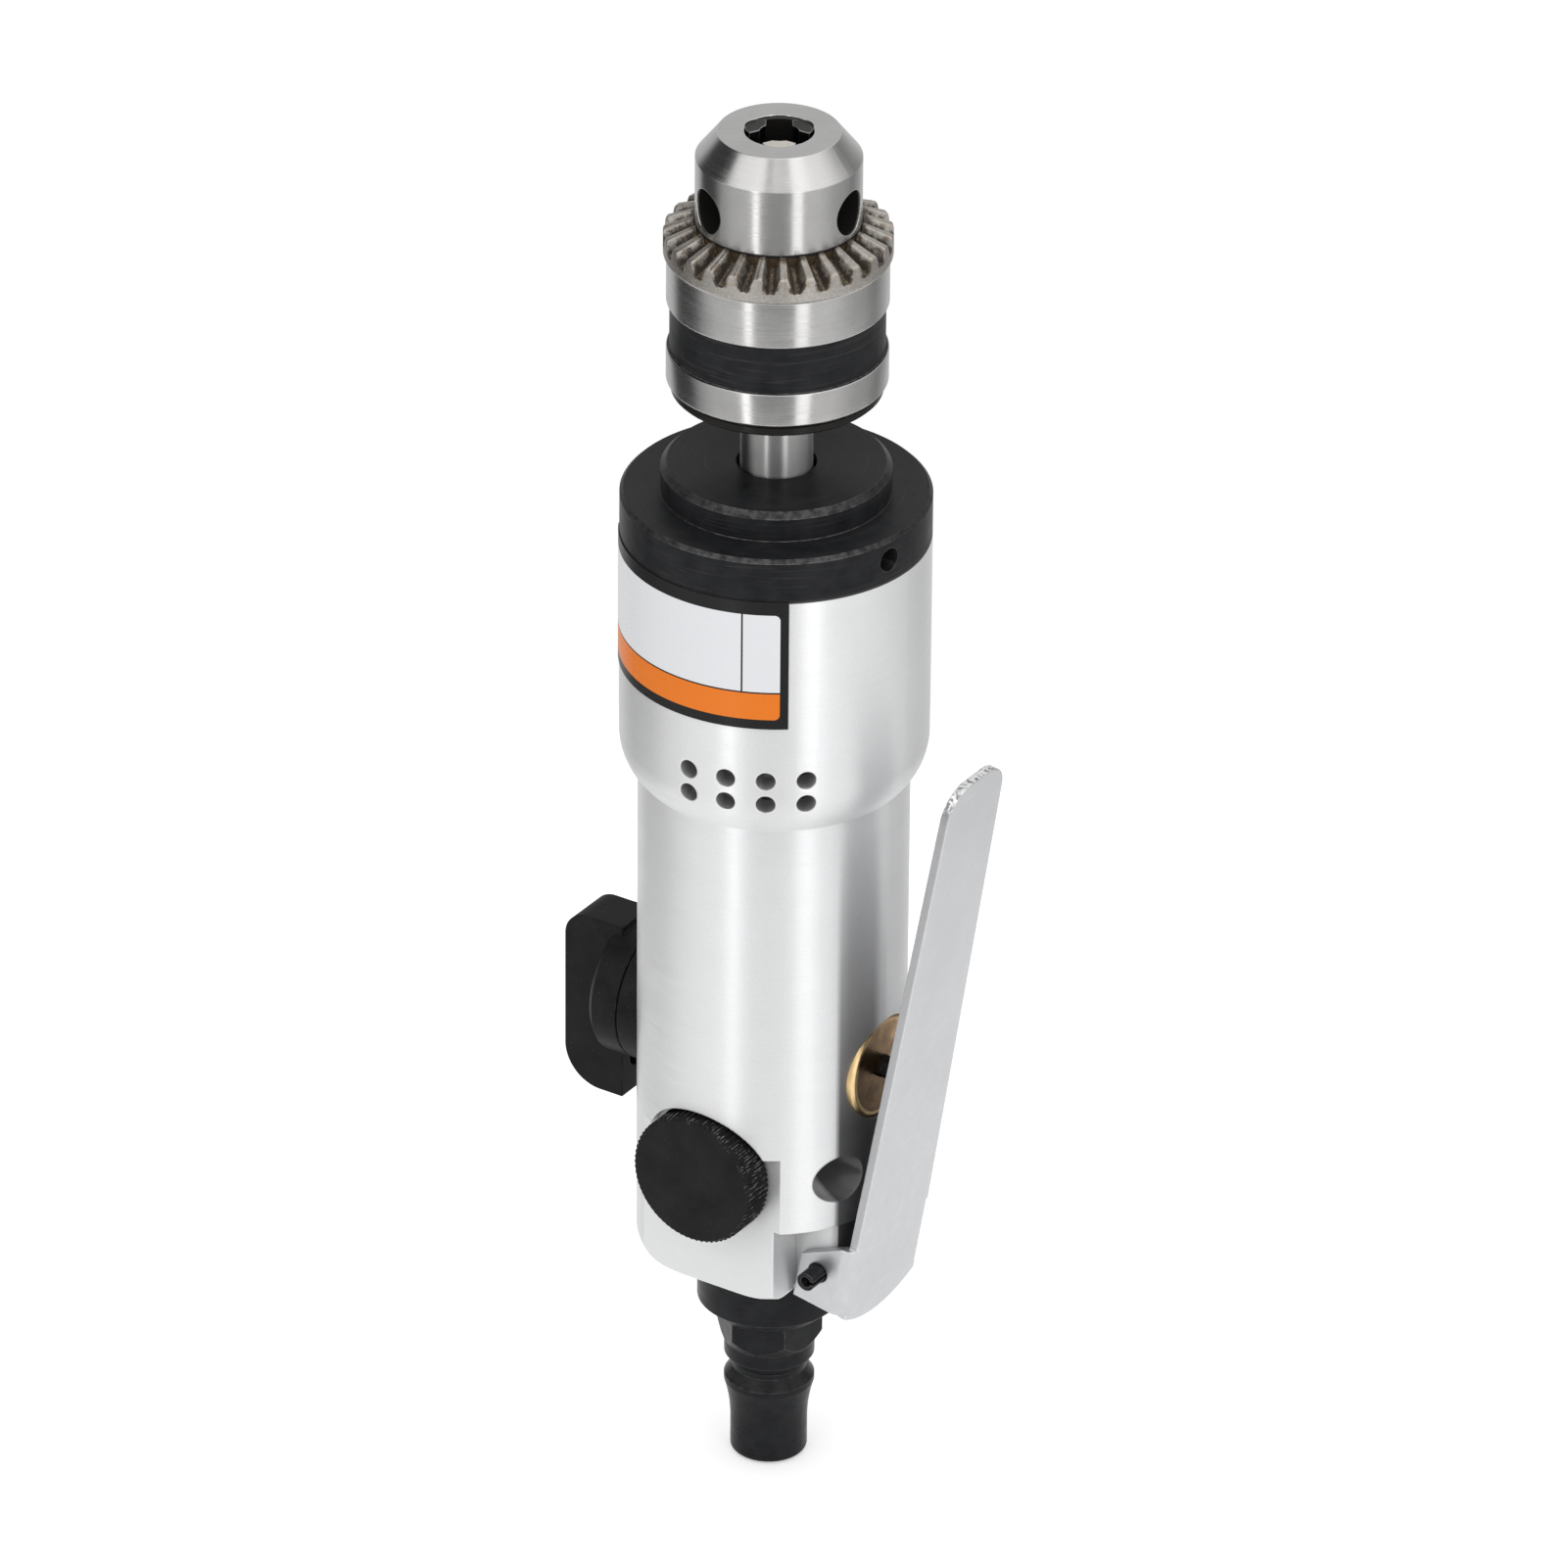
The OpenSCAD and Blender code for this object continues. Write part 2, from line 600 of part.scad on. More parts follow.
module motor_housing() {
    shoulder_turn = acos((handle_r - head_r + shoulder_r) / shoulder_r);
    profile = concat(
        [[0, z_handle]],
        arc(handle_r - handle_round, z_handle + handle_round, handle_round, -90, 0),
        arc(head_r - shoulder_r, z_head, shoulder_r, -shoulder_turn, 0),
        [[head_r, z_cap], [0, z_cap]]);
    z_chamber = z_front_plate - clear;
    color(aluminium) difference() {
        rotate_extrude($fn = 96) polygon(profile);
        // Bores of the motor and of the gears
        translate([0, 0, z_motor]) cylinder(r = motor_bore_r, h = z_cap - z_motor);
        translate([0, 0, z_chamber]) cylinder(r = head_bore_r, h = z_cap - z_chamber + over);
        // Exhaust holes into the room around the front end plate
        for (c = [0 : exhaust_columns - 1], row = [0, 1])
            rotate([0, 0, exhaust_start + c * exhaust_pitch])
                translate([0, 0, z_front_plate + 1.5 * exhaust_d + row * exhaust_row])
                    x_rod(cylinder_r, head_r + over, exhaust_d / 2);
        // Inlet thread, air room and air ways
        translate([0, 0, z_handle - over])
            cylinder(d = bushing_thread_d, h = bushing_thread + inlet_room + over);
        translate([0, 0, z_handle]) cylinder(d = air_way_d, h = regulator_up);
        translate([valve_room_x + air_way_d / 2, 0, z_regulator]) cylinder(d = air_way_d, h = valve_up);
        for (side = [-1, 1])
            translate([-spool_sleeve_r, side * spool_r, z_valve])
                cylinder(d = air_way_d, h = motor_up + over);
        // Regulator's flat, the knob's pocket and the stem's bore
        translate([-handle_r, flat_y - 2 * handle_r, z_handle - over])
            cube([2 * handle_r, 2 * handle_r, flat_h + over]);
        translate([0, 0, z_regulator]) {
            y_rod(-2 * handle_r, flat_y, regulator_d / 2 + 2 * clear);
            y_rod(flat_y - over, flat_y + stem_len + clear, stem_r + fit);
        }
        // Retaining screw's hole, down to the stem
        translate([0, screw_y, z_regulator]) x_rod(0, handle_r + over, screw_d / 2 + seat);
        // Throttle valve's bush and chamber, and the reversing sleeve
        translate([0, 0, z_valve]) {
            x_rod(valve_seat_x, handle_r + over, valve_bush_d / 2 + seat);
            x_rod(valve_room_x, valve_seat_x + over, valve_head_d / 2 + 2 * clear);
            x_rod(-handle_r - over, spool_sleeve - handle_r, spool_sleeve_r + seat);
            x_rod(spool_sleeve - handle_r - over, valve_room_x + over, air_way_d / 2);
        }
        // Slots for the lever's ears, the lug's front face and the pin's bore
        for (side = [-1, 1])
            translate([lug_back_x, side > 0 ? lug_half : -lug_half - 2 * handle_r, z_handle - over])
                cube([2 * handle_r, 2 * handle_r, ear_slot_h + over]);
        translate([lug_front_x, -handle_r, z_handle - over])
            cube([handle_r, 2 * handle_r, ear_slot_h + over]);
        translate([relief_x, -handle_r, z_handle + ear_slot_h - over])
            cube([handle_r, 2 * handle_r, relief_h + over]);
        translate([pin_x, 0, z_pin]) y_rod(-handle_r, handle_r, pin_d / 2 + seat);
    }
}

module front_cap() {
    spigot_r = head_bore_r - fit;
    boss_r = cap_boss_d / 2;
    room_r = carrier_r + clear;
    z_seat = z_spindle_bearing;
    z_lip = z_seat + spindle_bearing_w;
    lip_r = spindle_bearing_d / 2 - 2 * over;
    bush_r = spindle_d / 2 + fit + bush_wall;
    hole_r = spindle_d / 2 + spindle_room;
    rim_share = 0.6;
    rim_bevel = rim_share * cap_bevel;
    profile = [
        [room_r, z_cap_spigot], [spigot_r, z_cap_spigot], [spigot_r, z_cap],
        [head_r, z_cap], [head_r, z_flange - rim_bevel], [head_r - rim_bevel, z_flange],
        [boss_r, z_flange], [boss_r, z_boss - cap_bevel], [boss_r - cap_bevel, z_boss],
        [hole_r, z_boss], [hole_r, z_bush + bush_len], [bush_r, z_bush + bush_len], [bush_r, z_bush],
        [lip_r, z_bush - over], [lip_r, z_lip], [spindle_bearing_d / 2, z_lip],
        [spindle_bearing_d / 2, z_seat], [room_r, z_seat]];
    color(black_steel) difference() {
        rotate_extrude($fn = 96) polygon(profile);
        rotate([0, 0, spanner_angle]) translate([0, 0, z_cap + cap_flange / 2])
            x_rod(head_r - spanner_depth, head_r + over, spanner_d / 2);
    }
}

module spindle_bush() {
    r_in = spindle_d / 2 + fit;
    color(brass) translate([0, 0, z_bush]) tube(r_in, r_in + bush_wall - seat, bush_len);
}

module ring_gear() {
    color(dark_steel) translate([0, 0, z_gear]) difference() {
        cylinder(r = ring_outer_r, h = ring_len);
        translate([0, 0, -over]) linear_extrude(ring_len + 2 * over)
            polygon(gear_points(ring_teeth, ring_r, ring_r - addendum, ring_r + dedendum, -backlash));
    }
}

// Dowel's radius, and its distance from the axis in the cylinder's thick wall
dowel_r = 1;
dowel_at = cylinder_r - (cylinder_wall + 2 * bore_offset) / 2;

// Hole that takes the cylinder's dowel
module dowel_hole(z, h) {
    translate([0, -dowel_at, z]) cylinder(r = dowel_r + seat, h = h);
}

module motor_cylinder() {
    port_w = 3;
    port_h = 5;
    flute = 1;
    color(bright_steel) difference() {
        translate([0, 0, z_cylinder]) cylinder(r = cylinder_r, h = cylinder_len);
        translate([0, bore_offset, z_cylinder - over])
            cylinder(r = cylinder_bore_r, h = cylinder_len + 2 * over);
        dowel_hole(z_cylinder - over, cylinder_len + 2 * over);
        // Exhaust ports, and the flute that leads the air forward
        for (a = [-30, 0, 30])
            rotate([0, 0, a]) translate([-port_w / 2, 0, z_cylinder + cylinder_len / 2])
                cube([port_w, cylinder_r + over, port_h]);
        for (a = [-30, 0, 30])
            rotate([0, 0, a]) translate([-port_w / 2, cylinder_r - flute, z_cylinder + cylinder_len / 2])
                cube([port_w, flute + over, cylinder_len]);
    }
}

module front_end_plate() {
    shaft_r = rotor_shaft_d / 2 + clear;
    flange_z = z_gear - front_flange_t;
    color(aluminium) difference() {
        union() {
            translate([0, 0, z_front_plate]) cylinder(r = cylinder_r, h = front_plate_t);
            translate([0, 0, flange_z]) cylinder(r = ring_outer_r, h = front_flange_t);
        }
        translate([0, 0, z_front_plate - over]) cylinder(r = shaft_r, h = front_plate_t + 2 * over);
        translate([0, 0, z_front_bearing]) cylinder(d = rotor_bearing_d, h = front_plate_t);
        dowel_hole(z_front_plate - over, rotor_bearing_w + over);
    }
}

module rear_end_plate() {
    shaft_r = rotor_shaft_d / 2 + clear;
    color(aluminium) difference() {
        translate([0, 0, z_motor]) cylinder(r = cylinder_r, h = rear_plate_t);
        translate([0, 0, z_motor - over]) cylinder(r = shaft_r, h = rear_plate_t + 2 * over);
        translate([0, 0, z_motor - over])
            cylinder(d = rotor_bearing_d, h = rotor_bearing_w + over + end_play);
        dowel_hole(z_motor - over, rear_plate_t + 2 * over);
        // Air ports into the cylinder, one for each way of turning
        for (side = [-1, 1])
            translate([-spool_sleeve_r, side * spool_r, z_motor - over])
                cylinder(d = air_way_d / 2, h = rear_plate_t + 2 * over);
    }
}

module cylinder_dowel() {
    color(bright_steel) translate([0, -dowel_at, z_motor + end_play])
        cylinder(r = dowel_r, h = rear_plate_t + cylinder_len + rotor_bearing_w - 2 * end_play);
}

module spindle_bearing_outer() {
    color(bright_steel) translate([0, 0, z_spindle_bearing]) bearing_outer(spindle_bearing);
}

module rotor_front_bearing_outer() {
    color(bright_steel) translate([0, 0, z_front_bearing]) bearing_outer(rotor_bearing);
}

module rotor_rear_bearing_outer() {
    color(bright_steel) translate([0, 0, z_rear_bearing]) bearing_outer(rotor_bearing);
}

module throttle_bush() {
    bevel = valve_face_in;
    r = valve_bush_d / 2;
    color(brass) translate([0, 0, z_valve]) difference() {
        union() {
            x_rod(valve_seat_x, valve_face_x - bevel, r);
            translate([valve_face_x - bevel, 0, 0]) rotate([0, 90, 0])
                cylinder(r1 = r, r2 = r - bevel, h = bevel);
        }
        x_rod(valve_seat_x - over, valve_face_x + over, valve_pin_d / 2 + fit);
    }
}

module throttle_spring() {
    from = valve_room_x + end_play;
    to = valve_head_x - valve_head_t - end_play;
    color(bright_steel) translate([from, 0, z_valve]) rotate([0, 90, 0])
        coil((spring_d - spring_wire) / 2, spring_wire, to - from, spring_turns);
}

module lever_pin() {
    half = lever_w / 2 + pin_free;
    slit = pin_wall;
    color(black_steel) translate([pin_x, 0, z_pin]) difference() {
        y_rod(-half, half, pin_d / 2);
        y_rod(-half - over, half + over, pin_d / 2 - pin_wall);
        translate([0, -half - over, -slit / 2]) cube([pin_d, 2 * half + 2 * over, slit]);
    }
}

module regulator_screw() {
    socket_d = screw_d / 2;
    nose_x = stem_r - screw_groove_depth + clear;
    color(dark_steel) translate([0, screw_y, z_regulator]) difference() {
        union() {
            x_rod(screw_seat_x, screw_seat_x + screw_len, screw_d / 2);
            x_rod(nose_x, screw_seat_x + over, screw_nose_d / 2);
        }
        translate([screw_seat_x + screw_len / 2, 0, 0]) rotate([0, 90, 0])
            cylinder(d = socket_d, h = screw_len, $fn = 6);
    }
}

module reverse_sleeve() {
    inner_x = spool_sleeve - handle_r;
    outer_x = -sqrt(pow(handle_r, 2) - pow(spool_sleeve_r, 2));
    lip = over;
    color(brass) translate([0, 0, z_valve]) difference() {
        x_rod(outer_x, inner_x, spool_sleeve_r);
        x_rod(-handle_r - over, inner_x + over, spool_r + fit);
        // Ports: one down to the valve chamber's air, two up to the motor
        for (side = [-1, 1])
            translate([-spool_sleeve_r, side * spool_r, 0])
                cylinder(d = air_way_d - lip, h = spool_sleeve_r + over);
    }
}

// Base ring that the reversing knob turns on. Its underside follows the round handle
module reverse_base() {
    r = reverse_hub_d / 2;
    inner_x = over - sqrt(pow(handle_r, 2) - pow(r, 2));
    color(black_plastic) translate([0, 0, z_valve]) difference() {
        x_rod(-handle_r - reverse_base_t, inner_x, r);
        x_rod(-handle_r - reverse_base_t - over, inner_x + over, spool_r + clear);
        translate([0, 0, -r - over]) cylinder(r = handle_r + seat, h = 2 * (r + over), $fn = 96);
    }
}

module inlet_bushing() {
    r = bushing_d / 2;
    low_r = plug_hex / 2 / cos(30);
    thread_r = bushing_thread_d / 2 - seat;
    plug_r = plug_thread_d / 2 + seat;
    z_end = z_handle + bushing_thread;
    z_stop = z_bushing + plug_thread + over;
    profile = [
        [plug_r, z_bushing], [low_r, z_bushing], [r, z_bushing + bushing_bevel], [r, z_handle],
        [thread_r, z_handle], [thread_r, z_end], [plug_bore / 2, z_end], [plug_bore / 2, z_stop],
        [plug_r, z_stop]];
    color(black_plastic) rotate_extrude($fn = 96) polygon(profile);
}

module inlet_screen() {
    r = bushing_thread_d / 2 - seat;
    screen_hole_share = 1 / 6;
    hole_d = screen_hole_share * r;
    pitch = 2 * hole_d;
    color(bright_steel) translate([0, 0, z_handle + bushing_thread]) difference() {
        cylinder(r = r, h = screen_t);
        for (ix = [-2 : 2], iy = [-2 : 2])
            translate([ix * pitch, iy * pitch, -over])
                cylinder(d = hole_d, h = screen_t + 2 * over, $fn = 16);
    }
}

module hose_plug() {
    land_r = plug_d / 2;
    collar_r = plug_collar_d / 2;
    groove_r = plug_groove_d / 2;
    flank_share = 0.4;
    flank = flank_share * plug_groove;
    bevel = plug_hex / 2 / cos(30) - collar_r;
    sweep = [for (i = [1 : arc_steps])
        let (t = i / arc_steps)
        [land_r + (collar_r - land_r) * t * t, z_taper + plug_taper * t]];
    profile = concat(
        [[plug_bore / 2, z_tip]],
        arc(land_r - plug_lead, z_tip + plug_lead, plug_lead, -90, 0),
        [[land_r, z_taper]], sweep,
        [[collar_r, z_groove], [groove_r, z_groove + flank], [groove_r, z_neck - flank], [collar_r, z_neck],
         [collar_r, z_bushing - end_play], [plug_thread_d / 2, z_bushing - end_play],
         [plug_thread_d / 2, z_bushing + plug_thread], [plug_bore / 2, z_bushing + plug_thread]]);
    color(black_steel) union() {
        rotate_extrude() polygon(profile);
        intersection() {
            difference() {
                translate([0, 0, z_hex]) rotate([0, 0, plug_hex_turn])
                    cylinder(d = plug_hex / cos(30), h = plug_hex_h - end_play, $fn = 6);
                translate([0, 0, z_hex - over]) cylinder(d = plug_thread_d, h = plug_hex_h + 2 * over);
            }
            translate([0, 0, z_hex])
                cylinder(r1 = collar_r, r2 = collar_r + bevel * plug_hex_h / plug_hex_bevel, h = plug_hex_h);
        }
    }
}

module head_label() {
    low = z_cap - seat - label_h;
    color(label_colour) rotate([0, 0, label_end - label_angle]) rotate_extrude(angle = label_angle, $fn = 96)
        translate([head_r + seat, low]) square([label_t, label_h]);
}

module spindle() {
    seat_r = spindle_seat_d / 2;
    z_step = z_spindle_bearing + spindle_bearing_w + end_play;
    shoulder_r2 = seat_r + over;
    color(bright_steel) difference() {
        union() {
            translate([0, 0, z_carrier]) cylinder(r = carrier_r, h = carrier_t);
            translate([0, 0, z_carrier]) cylinder(r = shoulder_r2, h = z_spindle_bearing - z_carrier);
            translate([0, 0, z_carrier]) cylinder(r = seat_r, h = z_step - z_carrier);
            translate([0, 0, z_carrier]) cylinder(d = spindle_d, h = z_chuck - z_carrier);
            translate([0, 0, z_chuck - over]) cylinder(d = spindle_thread_d, h = spindle_thread + over);
        }
        for (i = [0 : 2])
            rotate([0, 0, 120 * i]) translate([carrier_arm, 0, z_carrier - over])
                cylinder(d = planet_pin_d + 2 * seat, h = carrier_t + 2 * over);
        // Thread for the chuck's screw
        translate([0, 0, z_chuck]) cylinder(d = chuck_screw_d + 2 * seat, h = spindle_thread + over);
    }
}

chuck_screw_d = 4;
chuck_screw_head_d = 7;
chuck_screw_head_h = 2.2;

module chuck_screw() {
    z = z_chuck + spindle_thread;
    color(dark_steel) difference() {
        union() {
            translate([0, 0, z - spindle_thread + end_play]) cylinder(d = chuck_screw_d, h = spindle_thread);
            translate([0, 0, z]) cylinder(d = chuck_screw_head_d, h = chuck_screw_head_h);
        }
        translate([-chuck_screw_head_d, -clear, z + chuck_screw_head_h / 2])
            cube([2 * chuck_screw_head_d, 2 * clear, chuck_screw_head_h]);
    }
}

module planet_pins() {
    color(bright_steel) for (i = [0 : 2])
        rotate([0, 0, 120 * i]) translate([carrier_arm, 0, z_planets])
            cylinder(d = planet_pin_d, h = planet_len + clear + carrier_t);
}

module spindle_bearing_inner() {
    color(bright_steel) translate([0, 0, z_spindle_bearing]) bearing_inner(spindle_bearing);
}

module spindle_bearing_balls() {
    color(bright_steel) translate([0, 0, z_spindle_bearing]) bearing_balls(spindle_bearing);
}

// Place of a jaw's own axis: origin on the axis at the nose face's height, local X points outwards
module at_jaw(i) {
    rotate([0, 0, chuck_clock + 120 * i]) children();
}

// Rod along a jaw's axis between two heights
module jaw_rod(r, from_z, to_z) {
    run = (to_z - from_z) / cos(jaw_slope);
    translate([jaw_axis_r + (z_nose - from_z) * tan(jaw_slope), 0, from_z])
        rotate([0, -jaw_slope, 0]) cylinder(r = r, h = run);
}

module chuck_body() {
    foot_r = foot_d / 2;
    nose_r = nose_d / 2;
    rear_z = jaw_low_z - jaw_open_run - 2 * clear;
    z_foot = z_chuck + foot_h;
    profile = [
        [0, z_chuck], [foot_r - foot_bevel, z_chuck], [foot_r, z_chuck + foot_bevel], [foot_r, z_foot],
        [chuck_r, z_foot], [chuck_r, z_nose - nose_h], [nose_r, z_nose], [0, z_nose]];
    color(bright_steel) difference() {
        rotate_extrude($fn = 96) polygon(profile);
        // Spindle's thread and the throat for the bit
        translate([0, 0, z_chuck - over])
            cylinder(d = spindle_thread_d + 2 * seat, h = spindle_thread + 2 * over);
        translate([0, 0, z_chuck + spindle_thread]) cylinder(d = throat_d, h = chuck_h);
        for (i = [0 : 2]) at_jaw(i) {
            jaw_rod(jaw_r + fit, rear_z, z_nose + 2 * over);
            // Key holes stand between the jaws
            rotate([0, 0, 60]) translate([0, 0, z_nose - key_down])
                x_rod(chuck_r - key_depth, chuck_r + over, key_d / 2);
        }
    }
}

module jaw_nut() {
    color(dark_steel) translate([0, 0, z_nut]) tube(nut_bore_r, nut_r, nut_h);
}

module chuck_sleeve() {
    r = sleeve_d / 2;
    low_r = r - band_depth;
    gear_r = sleeve_gear_d / 2;
    room_r = nut_r + seat;
    bevel = band_depth;
    profile = [
        [room_r, z_sleeve], [r - bevel, z_sleeve], [r, z_sleeve + bevel], [r, z_band_mid],
        [low_r, z_band_mid], [low_r, z_band_top], [r, z_band_top], [r, z_strip],
        [gear_r, z_strip + bevel], [gear_r, z_tooth], [sleeve_bore_r + bevel, z_sleeve_top],
        [sleeve_bore_r, z_sleeve_top - bevel], [sleeve_bore_r, z_strip + clear], [room_r, z_strip + clear]];
    // The roots rise more than the tips, so that a tooth shrinks towards the axis
    root_rise = tooth_rise + tooth_h * (1 - sleeve_bore_r / gear_r);
    root_slope = atan(root_rise / (gear_r - sleeve_bore_r));
    color(bright_steel) difference() {
        rotate_extrude($fn = 96) polygon(profile);
        for (i = [0 : key_teeth - 1])
            rotate([0, 0, chuck_clock + tooth_clock + 360 * (i + 1 / 2) / key_teeth])
                translate([gear_r, 0, z_root]) rotate([0, root_slope - 90, 0]) key_groove(gear_r);
    }
}

// Groove between two key teeth: a wedge along local Z that opens along local X and narrows inwards
module key_groove(gear_r) {
    root_share = 0.11;
    mouth_share = 0.36;
    inner_share = 0.5;
    pitch = 2 * PI * gear_r / key_teeth;
    depth = 3 * tooth_h;
    root = root_share * pitch;
    mouth = root + (mouth_share * pitch - root) * depth / tooth_h;
    deep = gear_r / 2;
    polyhedron(
        points = [
            [0, -root, -over], [depth, -mouth, -over], [depth, mouth, -over], [0, root, -over],
            [0, -root * inner_share, deep], [depth, -mouth * inner_share, deep],
            [depth, mouth * inner_share, deep], [0, root * inner_share, deep]],
        faces = [[0, 1, 2, 3], [7, 6, 5, 4], [0, 4, 5, 1], [1, 5, 6, 2], [2, 6, 7, 3], [3, 7, 4, 0]]);
}

module jaw(i) {
    apex = grip_r - grip_min;
    reach = 2 * jaw_d;
    wedge = [[apex, 0], [apex + reach, reach * tan(60)], [apex + reach, -reach * tan(60)]];
    color(bright_steel) at_jaw(i) intersection() {
        jaw_rod(jaw_r, jaw_low_z, z_nose + jaw_d);
        difference() {
            translate([0, 0, jaw_low_z - jaw_d]) linear_extrude(jaw_len + jaw_d) polygon(wedge);
            translate([0, 0, jaw_low_z - jaw_d - over]) cylinder(r = grip_r, h = jaw_len + jaw_d + 2 * over);
        }
    }
}

module jaw_1() { jaw(0); }
module jaw_2() { jaw(1); }
module jaw_3() { jaw(2); }

module planet_gear(i) {
    color(dark_steel) rotate([0, 0, 120 * i]) translate([carrier_arm, 0, z_planets]) difference() {
        linear_extrude(planet_len)
            polygon(gear_points(planet_teeth, planet_r, planet_r - dedendum, planet_r + addendum, backlash));
        translate([0, 0, -over]) cylinder(d = planet_pin_d + 2 * fit, h = planet_len + 2 * over);
    }
}

module planet_gear_1() { planet_gear(0); }
module planet_gear_2() { planet_gear(1); }
module planet_gear_3() { planet_gear(2); }

module rotor() {
    low = z_cylinder + end_play;
    len = cylinder_len - 2 * end_play;
    slot_r = rotor_r - vane_h;
    color(bright_steel) difference() {
        union() {
            translate([0, 0, low]) cylinder(r = rotor_r, h = len);
            translate([0, 0, z_rear_bearing])
                cylinder(d = rotor_shaft_d, h = z_gear - z_rear_bearing - clear);
            translate([0, 0, z_gear - over]) cylinder(d = pinion_seat_d, h = planet_len + clear + over);
        }
        for (i = [0 : vanes_n - 1])
            rotate([0, 0, 360 * i / vanes_n]) translate([slot_r, -vane_t / 2 - fit, low - over])
                cube([vane_h + over, vane_t + 2 * fit, len + 2 * over]);
    }
}

module vanes() {
    low = z_cylinder + end_play;
    len = cylinder_len - 2 * end_play;
    color(brass) for (i = [0 : vanes_n - 1])
        rotate([0, 0, 360 * i / vanes_n]) translate([rotor_r - vane_h + fit, -vane_t / 2, low])
            cube([vane_h - 2 * fit, vane_t, len]);
}

module sun_pinion() {
    color(dark_steel) translate([0, 0, z_planets]) difference() {
        linear_extrude(planet_len)
            polygon(gear_points(sun_teeth, sun_r, sun_r - dedendum, sun_r + addendum, backlash));
        translate([0, 0, -over]) cylinder(d = pinion_seat_d + 2 * seat, h = planet_len + 2 * over);
    }
}

module rotor_front_bearing_inner() {
    color(bright_steel) translate([0, 0, z_front_bearing]) bearing_inner(rotor_bearing);
}

module rotor_rear_bearing_inner() {
    color(bright_steel) translate([0, 0, z_rear_bearing]) bearing_inner(rotor_bearing);
}

module rotor_front_bearing_balls() {
    color(bright_steel) translate([0, 0, z_front_bearing]) bearing_balls(rotor_bearing);
}

module rotor_rear_bearing_balls() {
    color(bright_steel) translate([0, 0, z_rear_bearing]) bearing_balls(rotor_bearing);
}

// Lever's flat outline: width along X, length along Y. Its tip has round corners, and its tail is one arc
module lever_outline() {
    top = lever_len - lever_tip_r;
    neck = lever_neck_w / 2;
    fold_share = 0.7;
    tail = lever_w / 2 - fold_share * fold_r;
    tip = lever_tip_w / 2;
    union() {
        polygon([[-neck, 0], [neck, 0], [tip, top], [-tip, top]]);
        intersection() {
            translate([-tail, -lever_tail]) square([2 * tail, lever_tail + over]);
            translate([0, lever_tail_r - lever_tail]) circle(r = lever_tail_r);
        }
        for (side = [-1, 1])
            translate([side * (tip - lever_tip_r), top]) circle(r = lever_tip_r);
        translate([lever_tip_r - tip, top - over])
            square([lever_tip_w - 2 * lever_tip_r, lever_tip_r + over]);
    }
}

module throttle_lever() {
    half = lever_w / 2;
    ear_top = ear_up + ear_rise;
    fold_x = lever_out - fold_r;
    ear = [[-ear_back, -ear_down], [fold_x, -ear_down], [fold_x, ear_top], [-ear_back, ear_up]];
    fold_h = ear_top + ear_down;
    color(aluminium) translate([pin_x, 0, z_pin]) rotate([0, lever_slope, 0]) difference() {
        union() {
            // Plate, without the strips that the folds take
            difference() {
                translate([lever_in, 0, 0]) rotate([90, 0, 90]) linear_extrude(lever_t) lever_outline();
                for (side = [-1, 1])
                    translate([lever_in - over, side > 0 ? half - fold_r : -half - fold_r, -ear_down])
                        cube([lever_t + 2 * over, 2 * fold_r, fold_h]);
            }
            for (side = [-1, 1]) {
                translate([0, side > 0 ? half : -half + lever_t, 0]) rotate([90, 0, 0])
                    linear_extrude(lever_t) polygon(ear);
                // Fold between plate and ear
                intersection() {
                    translate([fold_x, side * (half - fold_r), -ear_down])
                        tube(fold_r - lever_t, fold_r, fold_h);
                    translate([fold_x, side > 0 ? half - fold_r : -half - over, -ear_down - over])
                        cube([fold_r + over, fold_r + over, fold_h + 2 * over]);
                }
            }
        }
        y_rod(-half - over, half + over, pin_d / 2 + lever_play);
    }
}

module throttle_valve() {
    color(dark_steel) translate([0, 0, z_valve]) {
        x_rod(valve_head_x - valve_head_t / 2, valve_ball_x, valve_pin_d / 2);
        x_rod(valve_head_x - valve_head_t, valve_head_x, valve_head_d / 2);
        translate([valve_ball_x, 0, 0]) sphere(d = valve_pin_d);
    }
}

module throttle_seal() {
    r = valve_head_d / 2 - seal_wire;
    color(rubber) translate([valve_head_x + seal_wire / 2, 0, z_valve]) rotate([0, 90, 0])
        ring(r, seal_wire - end_play);
}

